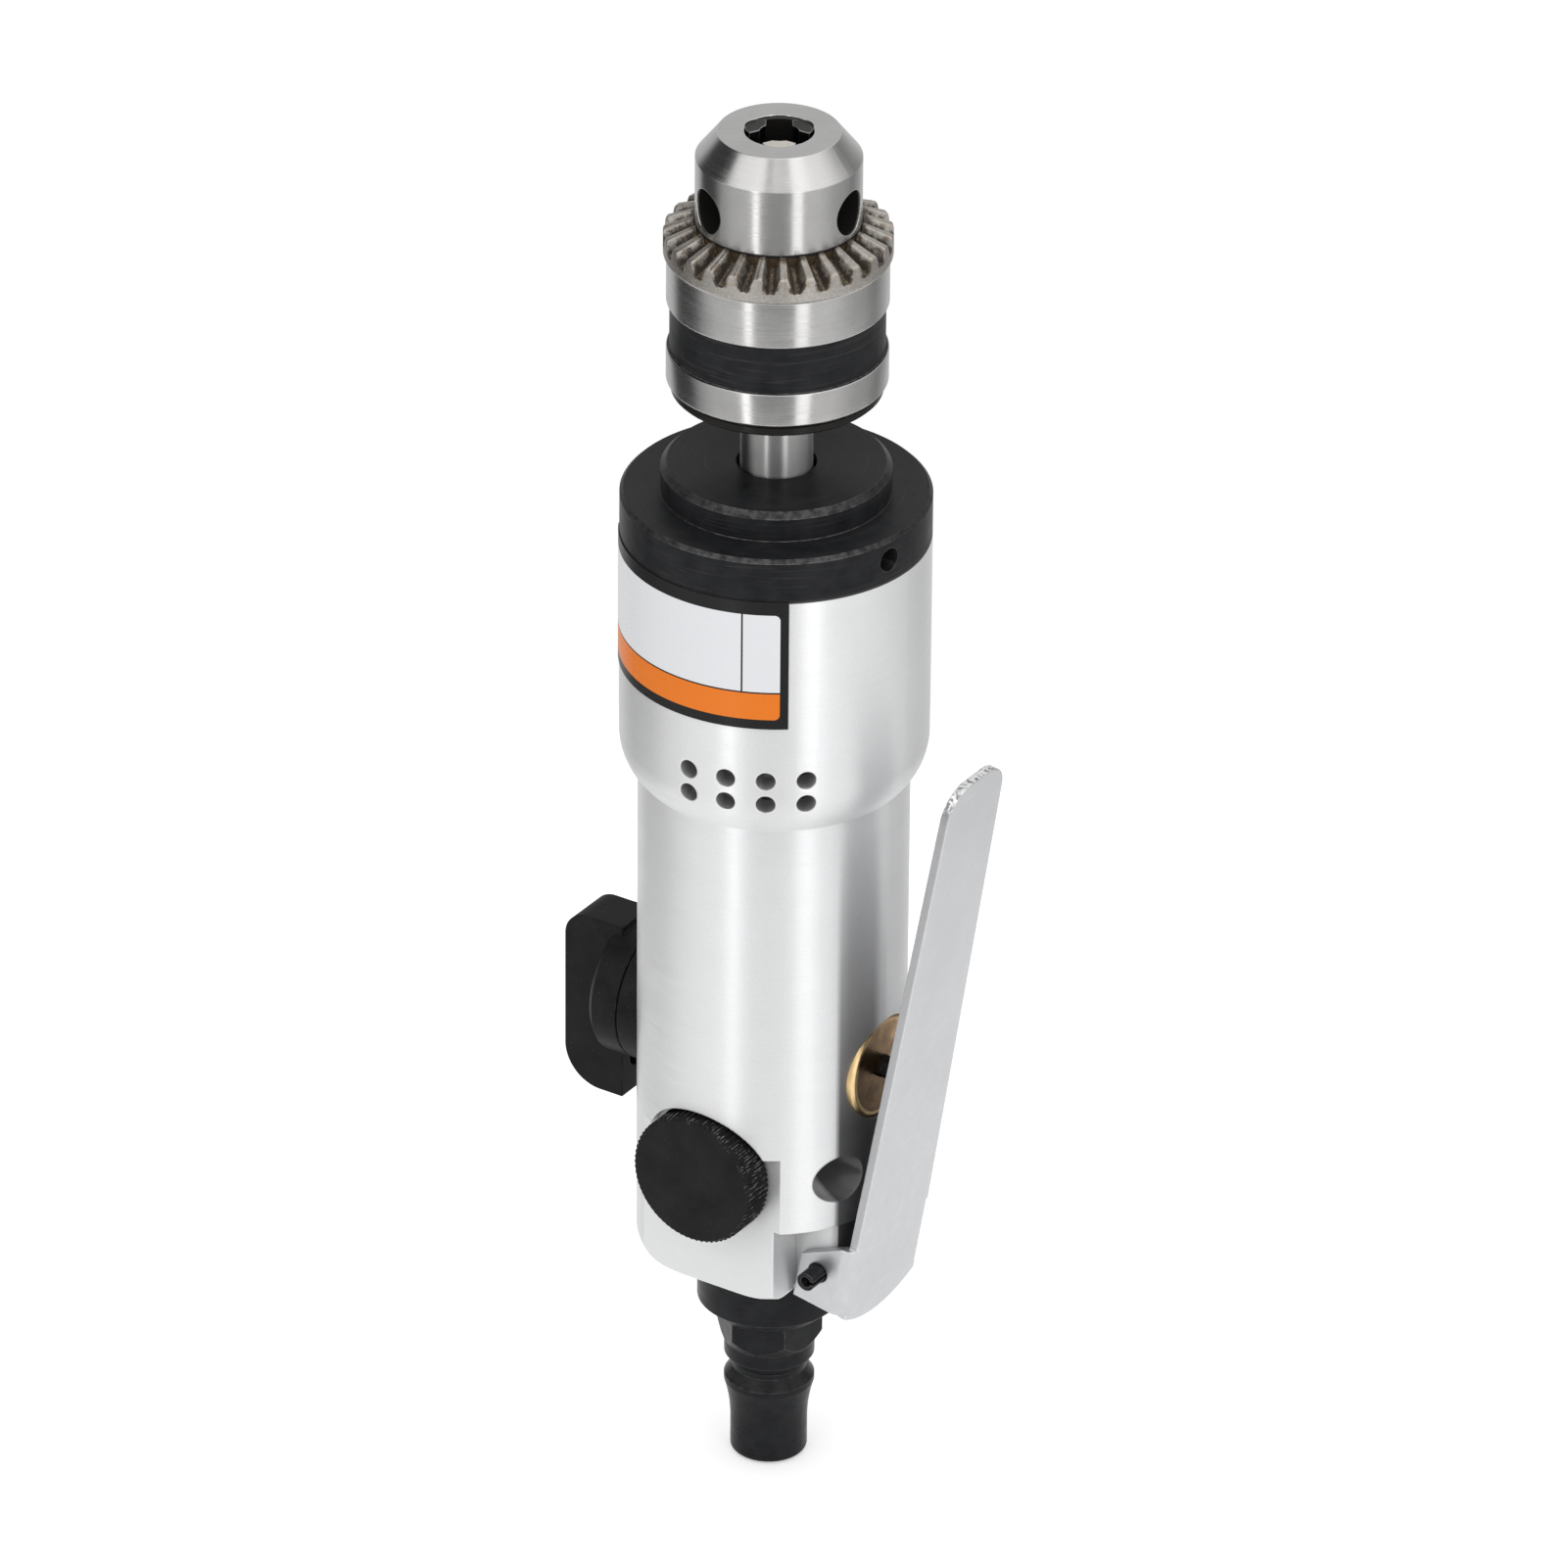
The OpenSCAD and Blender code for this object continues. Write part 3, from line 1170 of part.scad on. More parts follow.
module reverse_knob() {
    inner_x = -handle_r - wing_in;
    outer_x = -handle_r - wing_out;
    depth = inner_x - outer_x;
    wing_h = wing_up + wing_down;
    hub_r = reverse_hub_d / 2;
    hub_end = -handle_r - reverse_hub;
    edge = over;
    color(black_plastic) translate([0, 0, z_valve]) difference() {
        union() {
            x_rod(hub_end, -handle_r - reverse_base_t - clear, hub_r);
            translate([hub_end - edge, 0, 0]) rotate([0, 90, 0])
                cylinder(r1 = hub_r - edge, r2 = hub_r, h = edge);
            translate([0, wing_t / 2, 0]) rotate([90, 0, 0]) linear_extrude(wing_t) intersection() {
                translate([outer_x, -wing_down]) square([depth, wing_h]);
                union() {
                    translate([outer_x + wing_r, -wing_down]) square([depth, wing_h - wing_top_r]);
                    translate([outer_x + wing_top_r, 0]) square([depth, wing_up]);
                    translate([outer_x, wing_r - wing_down]) square([depth, wing_h - wing_r - wing_top_r]);
                    translate([outer_x + wing_r, wing_r - wing_down]) circle(r = wing_r);
                    translate([outer_x + wing_top_r, wing_up - wing_top_r]) circle(r = wing_top_r);
                }
            }
        }
        translate([0, 0, -wing_hole_at]) x_rod(inner_x - wing_hole_d, inner_x + over, wing_hole_d / 2);
        // Seat of the spool's end and the screw's hole
        x_rod(-handle_r - reverse_hub / 2, -handle_r + over, spool_r + seat);
        x_rod(outer_x - over, -handle_r, reverse_screw_d / 2 + seat);
        x_rod(outer_x - over, outer_x + reverse_screw_head, reverse_screw_d + seat);
    }
}

reverse_screw_d = 3;
reverse_screw_head = 2.4;

module reverse_screw() {
    outer_x = -handle_r - wing_out + reverse_screw_head;
    head_h = reverse_screw_head - 2 * clear;
    color(black_steel) translate([0, 0, z_valve]) difference() {
        union() {
            x_rod(outer_x - head_h, outer_x, reverse_screw_d);
            x_rod(outer_x - over, -handle_r, reverse_screw_d / 2);
        }
        translate([outer_x - head_h - over, -clear, -reverse_screw_d])
            cube([head_h / 2 + over, 2 * clear, 2 * reverse_screw_d]);
    }
}

// Seal groove's place along the spool
spool_groove_x = -handle_r + spool_sleeve_r / 2;

module reverse_spool() {
    inner_x = spool_sleeve - handle_r - clear;
    color(bright_steel) translate([0, 0, z_valve]) difference() {
        x_rod(-handle_r - reverse_hub / 2 + end_play, inner_x, spool_r);
        // Waist that joins two ports at a time
        for (side = [-1, 1])
            translate([-spool_sleeve_r - air_way_d / 2, side > 0 ? over : -over - spool_d, -spool_d])
                cube([air_way_d, spool_d, 2 * spool_d]);
        translate([spool_groove_x, 0, 0]) rotate([0, 90, 0]) ring(spool_r, 2 * seal_wire);
        x_rod(-2 * handle_r, -handle_r + end_play, reverse_screw_d / 2 + seat);
    }
}

module reverse_seal() {
    color(rubber) translate([spool_groove_x, 0, z_valve]) rotate([0, 90, 0])
        ring(spool_r - seal_wire / 2, seal_wire - 2 * fit);
}

module regulator_knob() {
    r = regulator_d / 2;
    groove_share = 0.025;
    groove = groove_share * r;
    core_r = r - 2 * groove;
    core = [
        [0, regulator_h / 2], [core_r, regulator_h / 2], [core_r, regulator_h - regulator_bevel],
        [r - regulator_bevel, regulator_h], [0, regulator_h]];
    knurl = [for (i = [0 : 2 * regulator_grooves - 1])
        let (a = 180 * i / regulator_grooves,
             rr = i % 2 == 0 ? r : r - groove)
        [rr * cos(a), rr * sin(a)]];
    color(black_plastic) translate([0, flat_y - clear, z_regulator]) rotate([90, 0, 0]) difference() {
        union() {
            linear_extrude(regulator_h - regulator_bevel) polygon(knurl);
            rotate_extrude() polygon(core);
        }
        translate([0, 0, -over]) cylinder(r = stem_r + seat, h = regulator_h / 2 + over);
    }
}

// Place of the stem's seal
stem_seal_y = flat_y + screw_in / 3;

module regulator_stem() {
    color(brass) translate([0, 0, z_regulator]) difference() {
        y_rod(flat_y - clear - regulator_h / 2 + end_play, flat_y + stem_len, stem_r);
        // Groove of the retaining screw, groove of the seal, and the air's cross hole
        translate([0, screw_y, 0]) rotate([90, 0, 0]) translate([0, 0, -screw_nose_d / 2 - clear])
            tube(stem_r - screw_groove_depth, stem_r + over, screw_nose_d + 2 * clear);
        translate([0, stem_seal_y, 0]) rotate([90, 0, 0]) ring(stem_r, 2 * seal_wire);
        translate([0, 0, -stem_d]) cylinder(d = air_way_d, h = 2 * stem_d);
    }
}

module regulator_seal() {
    color(rubber) translate([0, stem_seal_y, z_regulator]) rotate([90, 0, 0])
        ring(stem_r - seal_wire / 2, seal_wire - 2 * fit);
}

motor_housing();
front_cap();
spindle_bush();
ring_gear();
motor_cylinder();
front_end_plate();
rear_end_plate();
cylinder_dowel();
spindle_bearing_outer();
rotor_front_bearing_outer();
rotor_rear_bearing_outer();
throttle_bush();
throttle_spring();
lever_pin();
regulator_screw();
reverse_sleeve();
reverse_base();
inlet_bushing();
inlet_screen();
hose_plug();
head_label();
spindle();
planet_pins();
spindle_bearing_inner();
chuck_body();
chuck_screw();
spindle_bearing_balls();
chuck_sleeve();
jaw_nut();
jaw_1();
jaw_2();
jaw_3();
planet_gear_1();
planet_gear_2();
planet_gear_3();
rotor();
vanes();
sun_pinion();
rotor_front_bearing_inner();
rotor_rear_bearing_inner();
rotor_front_bearing_balls();
rotor_rear_bearing_balls();
throttle_lever();
throttle_valve();
throttle_seal();
reverse_knob();
reverse_spool();
reverse_seal();
reverse_screw();
regulator_knob();
regulator_stem();
regulator_seal();
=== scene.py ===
# %% [markdown]
# # A straight air drill with a keyed chuck
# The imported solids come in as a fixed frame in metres, with the tool's axis on +Z, the lever on the
# +X side and the regulator on the -Y side. Each later cell dresses one part of the real drill.
# The box of the solids is kept now, because the dressed drill has to stay inside it.

# %% Load the frame
import json
import math
import bpy
import numpy as np
from mathutils import Matrix, Vector


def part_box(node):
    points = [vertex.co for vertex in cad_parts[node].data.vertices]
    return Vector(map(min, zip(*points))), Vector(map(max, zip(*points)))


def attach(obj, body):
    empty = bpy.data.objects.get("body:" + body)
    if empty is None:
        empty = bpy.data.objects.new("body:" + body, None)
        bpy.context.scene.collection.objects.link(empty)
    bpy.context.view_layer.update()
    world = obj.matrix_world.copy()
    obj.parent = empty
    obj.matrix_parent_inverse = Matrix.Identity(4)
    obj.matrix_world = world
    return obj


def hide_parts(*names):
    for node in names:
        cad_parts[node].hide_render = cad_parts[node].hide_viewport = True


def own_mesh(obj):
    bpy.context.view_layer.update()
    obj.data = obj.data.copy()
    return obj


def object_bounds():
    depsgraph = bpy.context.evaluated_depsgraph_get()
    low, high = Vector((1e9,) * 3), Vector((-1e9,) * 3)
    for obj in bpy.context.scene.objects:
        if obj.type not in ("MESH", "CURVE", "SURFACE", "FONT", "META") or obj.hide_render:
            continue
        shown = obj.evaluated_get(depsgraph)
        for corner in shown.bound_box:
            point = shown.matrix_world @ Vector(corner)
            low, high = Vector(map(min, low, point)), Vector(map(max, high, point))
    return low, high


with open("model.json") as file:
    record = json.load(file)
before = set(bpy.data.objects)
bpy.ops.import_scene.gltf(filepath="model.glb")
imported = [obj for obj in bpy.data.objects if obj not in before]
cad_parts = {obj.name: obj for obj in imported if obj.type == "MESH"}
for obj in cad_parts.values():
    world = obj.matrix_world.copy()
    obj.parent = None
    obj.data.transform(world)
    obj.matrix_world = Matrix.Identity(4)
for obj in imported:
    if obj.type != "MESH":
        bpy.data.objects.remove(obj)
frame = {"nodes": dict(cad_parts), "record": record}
solids = frame["nodes"]
cad_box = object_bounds()
MM = 0.001
print("solids:", len(solids), "box in mm:", [[round(v / MM, 1) for v in corner] for corner in cad_box])

# %% [markdown]
# ## The camera
# The photograph was taken from far away with a long lens, 33 degrees from the regulator's side
# towards the lever and 29 degrees up. The camera could be aimed with a constraint. Writing its
# three axes into a matrix also sets the small roll, and the shift puts the axis where it is framed.

# %% Place the camera
PICTURE_PX, FOCAL_PX = 1601, 14335.5
TURN, LIFT, ROLL = math.radians(33.0), math.radians(29.19), math.radians(0.474)
AIM, AIM_PX, STAND_OFF = Vector((0, 0, 0.11685)), (790.29, 788.59), 2.1333

backward = Vector((math.sin(TURN) * math.cos(LIFT), -math.cos(TURN) * math.cos(LIFT), math.sin(LIFT)))
level = Vector((math.cos(TURN), math.sin(TURN), 0))
rightward = level * math.cos(ROLL) + backward.cross(level) * math.sin(ROLL)
upward = backward.cross(rightward)
eye = AIM + backward * STAND_OFF

lens = bpy.data.cameras.new("long_lens")
lens.sensor_width = 36.0
lens.lens = FOCAL_PX * lens.sensor_width / PICTURE_PX
lens.shift_x = (PICTURE_PX / 2 - AIM_PX[0]) / PICTURE_PX
lens.shift_y = (AIM_PX[1] - PICTURE_PX / 2) / PICTURE_PX
lens.clip_start, lens.clip_end = 0.05, 50.0
camera = bpy.data.objects.new("camera", lens)
camera.matrix_world = Matrix((
    (rightward.x, upward.x, backward.x, eye.x),
    (rightward.y, upward.y, backward.y, eye.y),
    (rightward.z, upward.z, backward.z, eye.z),
    (0, 0, 0, 1),
))
bpy.context.scene.collection.objects.link(camera)
bpy.context.scene.camera = camera
bpy.context.scene.view_settings.view_transform = "Standard"
print("lens", round(lens.lens, 1), "mm, shift", round(lens.shift_x, 5), round(lens.shift_y, 5))

# %% [markdown]
# ## Building blocks for finishes
# A finish is a small graph of shader nodes. Clicking it together by hand is fine for one material,
# but two short helpers keep a dozen of them readable: one opens an empty finish with a Principled
# shader, and one adds a node and plugs its sockets in the same line. The other helpers are names for
# small graphs that come back, such as turning marks, noise and worn edges.

# %% Helpers for shader graphs
def open_finish(name, colour, metallic, roughness):
    """An empty finish: a material with one Principled shader on its output, and these constants."""
    finish = bpy.data.materials.new(name)
    finish.use_nodes = True
    tree = finish.node_tree
    tree.nodes.clear()
    out = tree.nodes.new("ShaderNodeOutputMaterial")
    shader = tree.nodes.new("ShaderNodeBsdfPrincipled")
    tree.links.new(shader.outputs["BSDF"], out.inputs["Surface"])
    shader.inputs["Base Color"].default_value = (*colour, 1)
    shader.inputs["Metallic"].default_value = metallic
    shader.inputs["Roughness"].default_value = roughness
    return finish, tree, shader


def put(tree, kind, plugs=None, **settings):
    """Adds one node. A plug that is a socket is linked, and any other plug is typed in as a value."""
    made = tree.nodes.new("ShaderNode" + kind)
    for key, value in settings.items():
        setattr(made, key, value)
    for key, value in (plugs or {}).items():
        if isinstance(value, bpy.types.NodeSocket):
            tree.links.new(value, made.inputs[key])
        else:
            made.inputs[key].default_value = value
    return made


def sums(tree, operation, first, second=0.0):
    """One Math node, for example sums(tree, "ADD", socket, 2), and its result."""
    return put(tree, "Math", {0: first, 1: second}, operation=operation).outputs[0]


def times(tree, first, second):
    """The product of two values, each a socket or a number."""
    return sums(tree, "MULTIPLY", first, second)


def remap(tree, value, low, high, to_low, to_high):
    """Carries low..high onto to_low..to_high along a straight line and holds the ends."""
    plugs = {"Value": value, "From Min": low, "From Max": high, "To Min": to_low, "To Max": to_high}
    return put(tree, "MapRange", plugs).outputs["Result"]


def spread(tree, noise):
    """Noise lies mostly between 0.3 and 0.7. This stretches that range to 0..1."""
    return remap(tree, noise, 0.3, 0.7, 0.0, 1.0)


def tint(tree, share, first, second):
    """Blends two colours, each a socket or three numbers, by a share from 0 to 1."""
    ends = [c if isinstance(c, bpy.types.NodeSocket) else (*c, 1) for c in (first, second)]
    return put(tree, "Mix", {0: share, 6: ends[0], 7: ends[1]}, data_type="RGBA").outputs[2]


def axes_of(tree, kind="Object"):
    """X, Y and Z of the point in the piece's own frame, or of its normal with the kind "Normal"."""
    return put(tree, "SeparateXYZ", {0: put(tree, "TexCoord").outputs[kind]}).outputs


def axis_distance(tree, axes):
    """How far the point is from the Z axis."""
    flat = put(tree, "CombineXYZ", {0: axes[0], 1: axes[1]}).outputs[0]
    return put(tree, "VectorMath", {0: flat}, operation="LENGTH").outputs["Value"]


def lathe_marks(tree, pitch, drift=0.15):
    """Turning marks: noise read at (distance from the axis, height) / pitch, so that it runs in rings."""
    axes = axes_of(tree)
    rings = put(tree, "CombineXYZ", {
        0: sums(tree, "DIVIDE", axis_distance(tree, axes), pitch * MM),
        1: sums(tree, "DIVIDE", axes[2], pitch * MM),
        2: times(tree, axes[0], drift / MM),
    }).outputs[0]
    return put(tree, "TexNoise", {"Vector": rings, "Scale": 1.0, "Detail": 3.0}).outputs["Fac"]


def along_marks(tree, shader, amount):
    """Stretches highlights across the rings: the tangent runs round the axis, in the piece's own frame."""
    axes = axes_of(tree)
    round_axis = put(tree, "CombineXYZ", {0: times(tree, axes[1], -1.0), 1: axes[0]}).outputs[0]
    turned = put(tree, "VectorTransform", {0: round_axis}, vector_type="VECTOR", convert_from="OBJECT",
                 convert_to="WORLD").outputs[0]
    heading = put(tree, "VectorMath", {0: turned}, operation="NORMALIZE").outputs[0]
    tree.links.new(heading, shader.inputs["Tangent"])
    shader.inputs["Anisotropic"].default_value = amount
    shader.inputs["Anisotropic Rotation"].default_value = 0.25


def cloud(tree, size, detail=4.0, roughness=0.55):
    """Plain noise whose patches are about this many millimetres across."""
    place = put(tree, "TexCoord").outputs["Object"]
    plugs = {"Vector": place, "Scale": 1 / (size * MM), "Detail": detail, "Roughness": roughness}
    return put(tree, "TexNoise", plugs).outputs["Fac"]


def rounded_normal(tree, radius):
    """The normal as if sharp edges were rounded with this radius in mm."""
    return put(tree, "Bevel", {"Radius": radius * MM}, samples=6).outputs["Normal"]


def edge_mask(tree, radius, low=0.008, high=0.1):
    """1 on corners and 0 on flats: how far a rounded normal leans away from the true normal."""
    plugs = {0: rounded_normal(tree, radius), 1: put(tree, "NewGeometry").outputs["Normal"]}
    agree = put(tree, "VectorMath", plugs, operation="DOT_PRODUCT").outputs["Value"]
    return remap(tree, sums(tree, "SUBTRACT", 1.0, agree), low, high, 0.0, 1.0)


def relief(tree, shader, height, distance, strength=1.0, rounding=None):
    """Bump from a height socket, over a normal that is rounded at sharp edges where rounding is given."""
    plugs = {"Height": height, "Distance": distance * MM, "Strength": strength}
    if rounding:
        plugs["Normal"] = rounded_normal(tree, rounding)
    tree.links.new(put(tree, "Bump", plugs).outputs["Normal"], shader.inputs["Normal"])


print("helpers ready")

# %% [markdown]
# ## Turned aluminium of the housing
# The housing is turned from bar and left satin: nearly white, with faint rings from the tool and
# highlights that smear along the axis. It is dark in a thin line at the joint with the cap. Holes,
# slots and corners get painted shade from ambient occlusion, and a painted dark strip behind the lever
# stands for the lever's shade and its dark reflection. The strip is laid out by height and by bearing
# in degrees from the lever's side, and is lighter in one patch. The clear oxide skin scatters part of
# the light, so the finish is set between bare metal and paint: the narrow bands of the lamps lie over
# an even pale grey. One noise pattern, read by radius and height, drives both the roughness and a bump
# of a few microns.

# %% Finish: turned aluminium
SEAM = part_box("motor_housing")[1].z
SEAM_FROM, SEAM_TO = SEAM - 0.42 * MM, SEAM - 0.3 * MM
SHADE_STRIP_EDGE, SHADE_STRIP_FADE, SHADE_STRIP_LOW, SHADE_STRIP_HIGH = 29.0, 2.5, 64 * MM, 116 * MM
STRIP_GAP_FROM, STRIP_GAP_TO, STRIP_GAP_LOW, STRIP_GAP_HIGH = -9.0, -4.0, 68 * MM, 82 * MM
HOLE_REACH = 5 * MM


def make_turned_aluminium(name, colour, roughness):
    """Patches, rings and grain blended into one colour, with wear, a painted dark strip behind the lever,
    painted shade in holes and the dark seam laid over it. The roughness is the rings plus the patches."""
    finish, tree, shader = open_finish(name, colour, 0.6, roughness)
    rings = lathe_marks(tree, 0.22)
    patches = cloud(tree, 9.0)
    grain = cloud(tree, 0.25, 2.0)
    worn = edge_mask(tree, 0.5)
    shade = tint(tree, spread(tree, patches), [c * 0.94 for c in colour], colour)
    shade = tint(tree, remap(tree, rings, 0.35, 0.65, 0.0, 0.15), shade, [c * 0.9 for c in colour])
    shade = tint(tree, remap(tree, grain, 0.35, 0.65, 0.0, 0.5), shade, [c * 0.88 for c in colour])
    shade = tint(tree, times(tree, worn, 0.6), shade, (0.97, 0.97, 0.97))
    axes = axes_of(tree)
    height, bearing = axes[2], sums(tree, "DEGREES", sums(tree, "ARCTAN2", axes[1], axes[0]))
    # Painted shade and reflection: a dark strip behind the lever, lighter in one patch.
    strip = times(tree, remap(tree, bearing, -SHADE_STRIP_EDGE, SHADE_STRIP_FADE - SHADE_STRIP_EDGE, 0.0, 1.0),
                  remap(tree, bearing, SHADE_STRIP_EDGE - SHADE_STRIP_FADE, SHADE_STRIP_EDGE, 1.0, 0.0))
    side_weight = times(tree, remap(tree, bearing, STRIP_GAP_FROM, STRIP_GAP_TO, 0.0, 1.0),
                  remap(tree, height, STRIP_GAP_LOW, STRIP_GAP_HIGH, 0.0, 0.75))
    strip = times(tree, strip, sums(tree, "SUBTRACT", 1.0, side_weight))
    strip = times(tree, strip, remap(tree, height, SHADE_STRIP_LOW, SHADE_STRIP_HIGH, 0.9, 0.0))
    shade = tint(tree, strip, shade, (0.09, 0.09, 0.095))
    # Painted shade: ambient occlusion darkens holes, slots and corners.
    depth = put(tree, "AmbientOcclusion", {"Distance": HOLE_REACH}, samples=8, only_local=True)
    open_air = depth.outputs["AO"]
    shade = tint(tree, remap(tree, open_air, 0.25, 0.7, 0.62, 0.0), shade, (0.07, 0.058, 0.048))
    seam = remap(tree, height, SEAM_FROM, SEAM_TO, 0.0, 0.97)
    tree.links.new(tint(tree, seam, shade, (0.02, 0.02, 0.02)), shader.inputs["Base Color"])
    tree.links.new(sums(tree, "ADD", remap(tree, rings, 0.3, 0.7, roughness - 0.05, roughness + 0.05),
                        remap(tree, patches, 0.3, 0.7, -0.02, 0.03)), shader.inputs["Roughness"])
    along_marks(tree, shader, 0.9)
    bumps = sums(tree, "ADD", times(tree, rings, 0.5), grain)
    relief(tree, shader, bumps, 0.004, 0.5, rounding=0.35)
    return finish


turned_aluminium = make_turned_aluminium("turned_aluminium", (0.84, 0.845, 0.85), 0.41)
machined_aluminium = make_turned_aluminium("machined_aluminium", (0.72, 0.72, 0.72), 0.4)
print("finishes:", turned_aluminium.name, machined_aluminium.name)

# %% [markdown]
# ## Steel of the chuck and the spindle
# Chuck steel is finer and darker than the housing, so it mirrors the lamps as sharp upright bands.
# The same rings are used with a lower roughness and a stronger stretch across the marks. The oil on the
# spindle mirrors less at a slant, which is the shader's own tint for metal at grazing angles.

# %% Finish: turned and ground steel
def make_turned_steel(name, colour, roughness, pitch, stretch, stain=0.12, at_slant=1.0):
    """stain is the share of dull specks, and at_slant tints what the steel mirrors at grazing angles."""
    finish, tree, shader = open_finish(name, colour, 1.0, roughness)
    rings = lathe_marks(tree, pitch)
    patches = cloud(tree, 5.0)
    specks = cloud(tree, 0.7, 2.0)
    worn = edge_mask(tree, 0.3)
    dull = times(tree, remap(tree, specks, 0.62, 0.75, 0.0, 1.0), stain)
    shade = tint(tree, spread(tree, patches), [c * 0.92 for c in colour], colour)
    shade = tint(tree, dull, shade, (0.22, 0.19, 0.16))
    shade = tint(tree, times(tree, worn, 0.5), shade, (0.85, 0.85, 0.84))
    shader.inputs["Specular Tint"].default_value = (at_slant, at_slant, at_slant, 1)
    tree.links.new(shade, shader.inputs["Base Color"])
    tree.links.new(sums(tree, "ADD", remap(tree, rings, 0.3, 0.7, roughness - 0.04, roughness + 0.06),
                        remap(tree, patches, 0.35, 0.7, 0.0, 0.05)), shader.inputs["Roughness"])
    along_marks(tree, shader, stretch)
    relief(tree, shader, rings, 0.003, 0.5, rounding=0.25)
    return finish


chuck_steel = make_turned_steel("chuck_steel", (0.50, 0.495, 0.49), 0.2, 0.16, 0.7)
ground_steel = make_turned_steel("ground_steel", (0.64, 0.635, 0.63), 0.34, 0.1, 0.97, at_slant=0.12)
hardened_steel = make_turned_steel("hardened_steel", (0.34, 0.335, 0.33), 0.34, 0.3, 0.3, 0.3)
print("finishes:", chuck_steel.name, ground_steel.name, hardened_steel.name)

# %% [markdown]
# ## Black oxide
# The cap, the plug and the bushing are steel with a thin black oxide skin. The lathe marks still
# show through it, and the skin wears to bare steel along the sharp edges and on bevels. The cap's
# lower edge lies against the housing, where nothing rubs it, so its own finish wears above that edge
# only. On the cap, these pale edges and bevels are also a painted highlight: they are brightest on the
# side that faces the camera and dimmer at the sides.

# %% Finish: black oxide
# The side that faces the camera, where edges get a painted highlight.
FRONT = (math.sin(TURN), -math.cos(TURN), 0)


def make_black_oxide(name, pitch, roughness, wear, worn_above=-1.0, ring_share=0.5, edge=0.3, sides=1.0):
    """worn_above is the height where wear begins, edge its width in mm, and sides the share of the pale
    edges away from the side that faces the camera, which gets a painted highlight."""
    finish, tree, shader = open_finish(name, (0.016, 0.016, 0.018), 0.0, roughness)
    rings = lathe_marks(tree, pitch)
    patches = cloud(tree, 3.0)
    axes = axes_of(tree)
    flat = put(tree, "CombineXYZ", {0: axes[0], 1: axes[1]}).outputs[0]
    outward = put(tree, "VectorMath", {0: flat}, operation="NORMALIZE").outputs[0]
    front = put(tree, "VectorMath", {0: outward, 1: FRONT}, operation="DOT_PRODUCT").outputs["Value"]
    lean = axes_of(tree, "Normal")[2]
    bevels = remap(tree, sums(tree, "ABSOLUTE", sums(tree, "SUBTRACT", lean, 0.7)), 0.06, 0.16, 0.16, 0.0)
    rubbed = remap(tree, cloud(tree, 1.2), 0.36, 0.58, 0.15 * wear, wear)
    worn = times(tree, sums(tree, "MAXIMUM", edge_mask(tree, edge), bevels), rubbed)
    # Painted highlight: the pale edges fade to the share sides away from the camera's side.
    worn = times(tree, worn, remap(tree, front, 0.6, 0.92, sides, 1.0))
    worn = times(tree, worn, remap(tree, axes[2], worn_above, worn_above + 0.2 * MM, 0.0, 1.0))
    shade = tint(tree, spread(tree, patches), (0.011, 0.0115, 0.013), (0.02, 0.0205, 0.022))
    shade = tint(tree, remap(tree, rings, 0.55, 0.75, 0.0, ring_share), shade, (0.05, 0.05, 0.05))
    tree.links.new(tint(tree, worn, shade, (0.42, 0.415, 0.41)), shader.inputs["Base Color"])
    tree.links.new(sums(tree, "ADD", remap(tree, rings, 0.3, 0.7, roughness - 0.06, roughness + 0.08),
                        remap(tree, patches, 0.3, 0.7, -0.03, 0.04)), shader.inputs["Roughness"])
    shader.inputs["Specular IOR Level"].default_value = 0.09
    along_marks(tree, shader, 0.6)
    relief(tree, shader, rings, 0.006, 0.6, rounding=0.3)
    return finish


black_oxide = make_black_oxide("black_oxide", 0.3, 0.3, 0.3, ring_share=0.12)
# The cap's edges are worn and also carry a painted highlight on the camera's side.
cap_oxide = make_black_oxide("cap_oxide", 0.3, 0.36, 0.9, SEAM + 0.5 * MM, edge=0.14, sides=0.22)
print("finishes:", black_oxide.name, cap_oxide.name)

# %% [markdown]
# ## Tumbled sheet of the lever
# The lever is cut from aluminium sheet and tumbled, which leaves a mottled grey face, short
# scratches in every direction and brighter edges. Two stretched noises, turned against each other,
# give the scratches. The side faces above the ears get painted shade, and the upward-facing round of
# the tip gets a painted highlight with dark nicks.

# %% Finish: tumbled sheet
LEVER_FOOT, LEVER_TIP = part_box("throttle_lever")[0].z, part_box("throttle_lever")[1].z
EAR_TOP, TIP_HIGHLIGHT_FROM, TIP_HIGHLIGHT_TO = LEVER_FOOT + 16 * MM, LEVER_TIP - 16 * MM, LEVER_TIP - 12 * MM


def scratches(tree, turn, length, width, share):
    """Fine streaks: noise squeezed across one direction of the YZ face, where only its peaks count."""
    place = put(tree, "TexCoord").outputs["Object"]
    squeeze = (1 / (length * MM), 1 / (length * MM), 1 / (width * MM))
    laid = put(tree, "Mapping", {"Vector": place, "Rotation": (turn, 0, 0), "Scale": squeeze}).outputs[0]
    noise = put(tree, "TexNoise", {"Vector": laid, "Scale": 1.0, "Detail": 2.0}).outputs["Fac"]
    return remap(tree, noise, share, share + 0.08, 0.0, 1.0)


